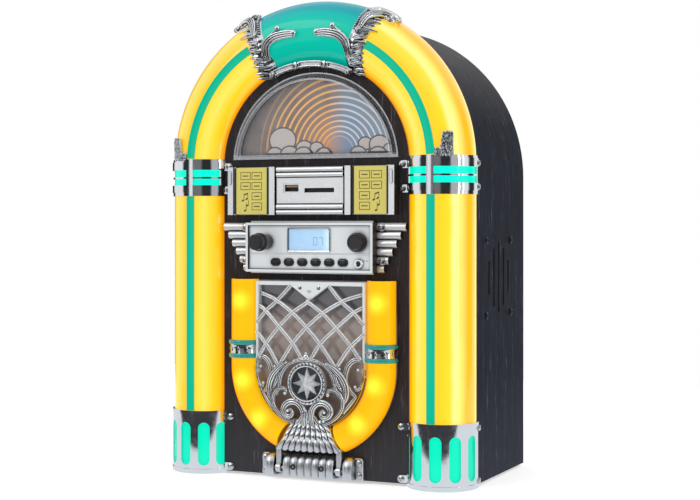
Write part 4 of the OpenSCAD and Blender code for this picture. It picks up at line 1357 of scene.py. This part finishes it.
def radio_details():
    """Rims, lines and small parts on the radio's face."""
    face = FASCIA_FACE
    display_bezel()
    display_digits()
    jack = Shape()
    jack_at = at(43.4, 0, 173.1)
    ring = [(1.9, 9.5), (3.8, 9.5), (3.8, 11.4), (3.4, 11.9), (2.3, 11.9), (1.9, 11.4)]
    jack.turned(jack_at, OUT, ring, 36, hollow=True)
    jack.piece("headphone_ring", "chrome_trim")
    well = Shape()
    well.turned(jack_at, OUT, [(1.88, 9.6), (1.88, 11.15)], 24)
    well.piece("headphone_well", "black_plastic")
    lamps = Shape()
    for x in (47.6, 50.2):
        lamps.ball(at(x, face, 175.4), (0.5, 0.5, 0.4), 4, 10)
    lamps.piece("status_lamps", "charcoal_plastic")
    line = Shape()
    line.slab(rectangle(-53.6, 53.6, 180.3, 181), face - 0.1, face + 0.25, 0.1)
    line.piece("fascia_line", "chrome_trim")
    edge = Shape()
    for x0, x1, z0, z1 in FASCIA_GROOVES:
        edge.slab(rectangle(x0, x1, z0, z1), face - 0.1, face + 0.12, 0.05)
    edge.piece("fascia_grooves", "charcoal_plastic")


# ---- selector row and window ----

def printed(shape, outline, face):
    """A printed mark, a hair proud of its card."""
    shape.slab(outline, face - 0.05, face + 0.12, 0.03)


CELL_W, CELL_H = 9.1, 6.2
CELL_STEP = 8.2
CELL_COLUMN = 5.1
INK_LINE = 0.45


def title_cards():
    """Empty boxes with a dash, and notes, mirrored from card to card."""
    low, high = box_mm("title_card_right")
    face = FRONT - low.y
    middle = (low.x + high.x) / 2 + 0.9
    ink = Shape()
    for s in (-1, 1):
        for side, rows in ((s, 2), (-s, 4)):
            for row in range(rows):
                x = s * middle + side * CELL_COLUMN
                z = high.z - 6.6 - row * CELL_STEP
                frame_line(ink, x, z, face)
                printed(ink, rectangle(x - 2.6, x + 2.6, z - 0.4, z + 0.4), face)
        notes(ink, s * (middle + CELL_COLUMN), high.z - 27.0, face)
    ink.piece("card_lines", "ink")


def frame_line(shape, x, z, face):
    """The thin outline of one box on a title card."""
    w, h, t = CELL_W / 2, CELL_H / 2, INK_LINE
    for x0, x1, z0, z1 in ((-w, w, h - t, h), (-w, w, -h, -h + t), (-w, -w + t, -h, h), (w - t, w, -h, h)):
        printed(shape, rectangle(x + x0, x + x1, z + z0, z + z1), face)


def notes(shape, x, z, face):
    """Plain eighth notes: two joined by a bar, and two single ones below."""
    for dx, dz, tail in ((-2.4, 0.6, 4.6), (1.0, 1.8, 4.6), (-0.4, -7.6, 6.2), (1.6, -3.4, 4.0)):
        head = [(x + dx + 1.155 * c, z + dz + 0.75 * s + 0.3 * c) for c, s in circle(12)]
        printed(shape, head, face)
        printed(shape, rectangle(x + dx + 0.8, x + dx + 1.2, z + dz, z + dz + tail), face)
    printed(shape, [(x - 1.6, z + 4.6), (x + 2.2, z + 5.8), (x + 2.2, z + 6.9), (x - 1.6, z + 5.7)], face)


# Printed clouds, the furthest first: x, height above the window's floor, radius.
PUFFS = [(-30, 12, 12.5), (43, 8, 6.5), (55, 7, 9), (-10.5, 5, 8), (0.5, 5, 6.5), (37, 0, 7.5), (64, 3, 6),
         (-37, 0, 8), (-23.5, 0, 9), (-11, -1, 9), (7, -1, 8), (54, -2, 9)]


def clouds():
    """Printed clouds along the bottom of the window."""
    face = q_of("artwork_panel")
    floor = box_mm("artwork_panel")[0].z
    shape = Shape()
    line = Shape()
    for i, (x, up, r) in enumerate(PUFFS):
        q = face + 0.12 + 0.05 * i
        outline = []
        for d in range(0, 360, 12):
            px = x + r * math.cos(math.radians(d))
            pz = max(floor + up + r * 0.86 * math.sin(math.radians(d)), floor + 0.3)
            outline.append((px, pz))
        line.slab(outline, face - 0.05, q - 0.02, 0.01)
        shape.slab(inset(outline, 1.2), face - 0.04, q + 0.02, 0.01)
    shape.piece("artwork_clouds", "cloud")
    line.piece("artwork_outlines", "cloud_line")


def frame_ring(shape, cx, cz, half_w, half_h, wall, q0, q1):
    """An open rectangular frame."""
    outer = rectangle(cx - half_w, cx + half_w, cz - half_h, cz + half_h, 0.5, 2)
    inner = rectangle(cx - half_w + wall, cx + half_w - wall, cz - half_h + wall, cz + half_h - wall, 0.3, 2)
    loops = [(outer, q0), (outer, q1), (inner, q1), (inner, q0), (outer, q0)]
    shape.strip([[at(x, q, z) for x, z in loop] for loop, q in loops], caps=False)


def sockets():
    """Linings of the two media sockets: a metal shell with a tongue, and dark blocks and slot walls that are
    painted shade inside the sockets.
    """
    metal = Shape()
    frame_ring(metal, -16.1, 233, 6.9, 3.6, 0.85, -2, 8.2)
    metal.piece("usb_shell", "chrome_trim")
    # Painted shade: a dark block behind the USB tongue, and a dark plate and walls inside the card slot.
    dark = Shape()
    dark.slab(rectangle(-22.4, -9.8, 229.9, 236.1), -1, 3.8, 0.1)
    dark.slab(rectangle(-4.4, 21.2, 229.6, 232.8), 5.65, 6.2, 0.1)
    frame_ring(dark, 8.4, 231.2, 12.9, 1.75, 0.3, 5.7, 8.5)
    dark.piece("socket_shade_linings", "black_plastic")
    tongue = Shape()
    tongue.slab(rectangle(-21.6, -10.6, 233.7, 235.4), 3, 7.2, 0.2)
    tongue.piece("usb_tongue", "usb_tongue")


# Heights of the grooves between the bars of the port plate, each filled with a dark strip of painted shade.
PORT_GROOVES = [250, 245.9, 241.5, 220.5, 216.1, 212.3]


def selector_details():
    """Clips on the outer pillars, and dark strips of painted shade in the grooves between the parts of the
    row.
    """
    shape = Shape()
    for s in (-1, 1):
        shape.slab([(s * 70.8 + px, 241.5 + pz) for pz, px in stadium_points(5.4, 1.0)], 9.6, 11, 0.4)
    shape.piece("pillar_clips", "chrome_trim")
    # Painted shade: dark strips fill the gaps between the row's parts and the grooves of the port plate.
    grooves = Shape()
    for s in (-1, 1):
        for x0, x1, q in ((29.4, 30.8, 6.3), (36, 38.5, 8.6), (66.3, 67.8, 8.95)):
            low_x, high_x = sorted((s * x0, s * x1))
            grooves.slab(rectangle(low_x, high_x, SELECTOR_LOW.z + 0.6, SELECTOR_HIGH.z - 0.6), 5.7, q, 0.1)
    for z in PORT_GROOVES:
        grooves.slab(rectangle(-29, 29, z - 0.35, z + 0.35), 8.5, 8.75, 0.1)
    grooves.piece("selector_groove_shade", "black_plastic")


# ---- stage ----

WHITE = (1, 1, 1, 1)
AMBIENT = 0.72
MIRRORED = 0.95
BRIGHT, GREY, DIM, DARK = [(v, v, v * 1.02, 1) for v in (1, 0.55, 0.2, 0.03)]
# Light and dark walls round the room, seen only in mirrored surfaces, by share of a full turn.
WALLS = [
    (0.0, DIM), (0.045, DIM), (0.052, BRIGHT), (0.08, BRIGHT), (0.09, DARK), (0.15, DARK), (0.17, BRIGHT),
    (0.3, BRIGHT), (0.32, DARK), (0.4, DARK), (0.43, GREY), (0.5, BRIGHT), (0.6, BRIGHT), (0.62, DARK),
    (0.68, DARK), (0.7, BRIGHT), (0.755, BRIGHT), (0.765, DARK), (0.8, DARK), (0.81, GREY), (0.865, GREY),
    (0.88, DARK), (0.955, DARK), (0.97, DIM),
]


def studio():
    """Plain white light all round; mirrored rays see a room with light and dark walls instead."""
    scene = bpy.context.scene
    scene.view_settings.view_transform = "Standard"
    scene.world = bpy.data.worlds.new("studio")
    scene.world.use_nodes = True
    world = Nodes(scene.world.node_tree)
    world.nodes.clear()
    x, y, z = world.split(world.add("TexCoord", "Generated"))
    turn = world.range(world.math("ARCTAN2", x, y), -math.pi, math.pi)
    room = world.mix(world.range(z, 0.35, 0.6), world.ramp(turn, WALLS), WHITE)
    reflected = world.add("Background", Color=room, Strength=MIRRORED)
    plain = world.add("Background", Color=WHITE, Strength=AMBIENT)
    backdrop = world.add("Background", Color=WHITE)
    lit = world.blend(world.add("LightPath", "Is Glossy Ray"), plain, reflected)
    shown = world.blend(world.add("LightPath", "Is Camera Ray"), lit, backdrop)
    output = world.nodes.new("ShaderNodeOutputWorld")
    world.put(output.inputs["Surface"], shown)


FLOOR_SIZE = 1.5
FLOOR_DROP = 0.0002
FLOOR_NEAR = (0.86, 0.89, 0.92, 1)
FLOOR_FAR = (0.05, 0.05, 0.055, 1)


def floor():
    bpy.ops.mesh.primitive_plane_add(size=FLOOR_SIZE, location=(0, 0, -FLOOR_DROP))
    plane = bpy.context.object
    plane.name = "floor"
    look = Look("floor")
    look.set(
        Base_Color=look.mix(look.noise(3, 1), srgb(250, 250, 250), WHITE),
        Roughness=0.9,
        Specular_IOR_Level=0.0,
        Emission_Color=WHITE,
        Emission_Strength=0.5,
    )
    # Mirrored in the chrome, the floor turns dark a little way in front of the object.
    _, y, _ = look.place()
    tone = look.mix(look.range(y, -0.2, -0.22), FLOOR_NEAR, FLOOR_FAR)
    gloom = look.add("Background", Color=tone)
    look.show(look.blend(look.add("LightPath", "Is Glossy Ray"), look.shader.outputs[0], gloom))
    plane.data.materials.append(look.mat)


def area_light(name, place, aim, size, power):
    data = bpy.data.lights.new(name, "AREA")
    data.shape = "RECTANGLE"
    data.size, data.size_y = size
    data.energy = power
    light = bpy.data.objects.new(name, data)
    light.location = place
    light.rotation_euler = (Vector(aim) - Vector(place)).to_track_quat("-Z", "Y").to_euler()
    bpy.context.scene.collection.objects.link(light)


# The camera stands to the right of the object's front, at mid height, and looks level.
CAMERA_AT = (0.52238, -1.14797, 0.20468)
CAMERA_TURN = 24.168
CAMERA_LENS = 77.93
CAMERA_SHIFT = -0.0377


def camera():
    data = bpy.data.cameras.new("camera")
    data.sensor_width = 36
    data.lens = CAMERA_LENS
    data.shift_y = CAMERA_SHIFT
    ob = bpy.data.objects.new("camera", data)
    ob.location = CAMERA_AT
    ob.rotation_euler = (math.radians(90), 0, math.radians(CAMERA_TURN))
    bpy.context.scene.collection.objects.link(ob)
    bpy.context.scene.camera = ob


# CAD nodes whose look isn't the one of their material slot.
OWN_LOOK = {"crown_lens": "crown_teal", "foot_lenses": "foot_lens", "wing_left": "ridge_trim",
            "wing_right": "ridge_trim", "port_plate": "ridge_trim", "selector_frame": "ridge_trim",
            "radio_fascia": "fascia_trim"}


def dress_cad_nodes():
    slots = {part["node"]: part["material_slot"] for part in frame["record"]["subparts"]}
    for name, ob in frame["nodes"].items():
        look = LOOKS[OWN_LOOK.get(name, slots[name])]
        ob.data.materials.clear()
        ob.data.materials.append(look.mat)


dress_cad_nodes()
screws()
door_border()
door_lattice()
door_scrolls()
medallion()
door_waist()
door_rings()
hinge_bracket()
crown_ornament()
collar_leaves()
knob("volume_knob", VOLUME_PROFILE)
knob("tuning_knob", TUNING_PROFILE)
push_buttons()
radio_details()
title_cards()
clouds()
selector_details()
sockets()
studio()
floor()
area_light("key", (-0.9, -1.3, 1.2), (0, 0, 0.2), (0.8, 0.8), 5)
area_light("side", (1.6, -0.2, 0.7), (0.1, 0, 0.2), (0.5, 1.0), 1)
area_light("strip", (1.7, -0.5, 0.35), (0.1, 0, 0.25), (0.1, 1.5), 3)
camera()
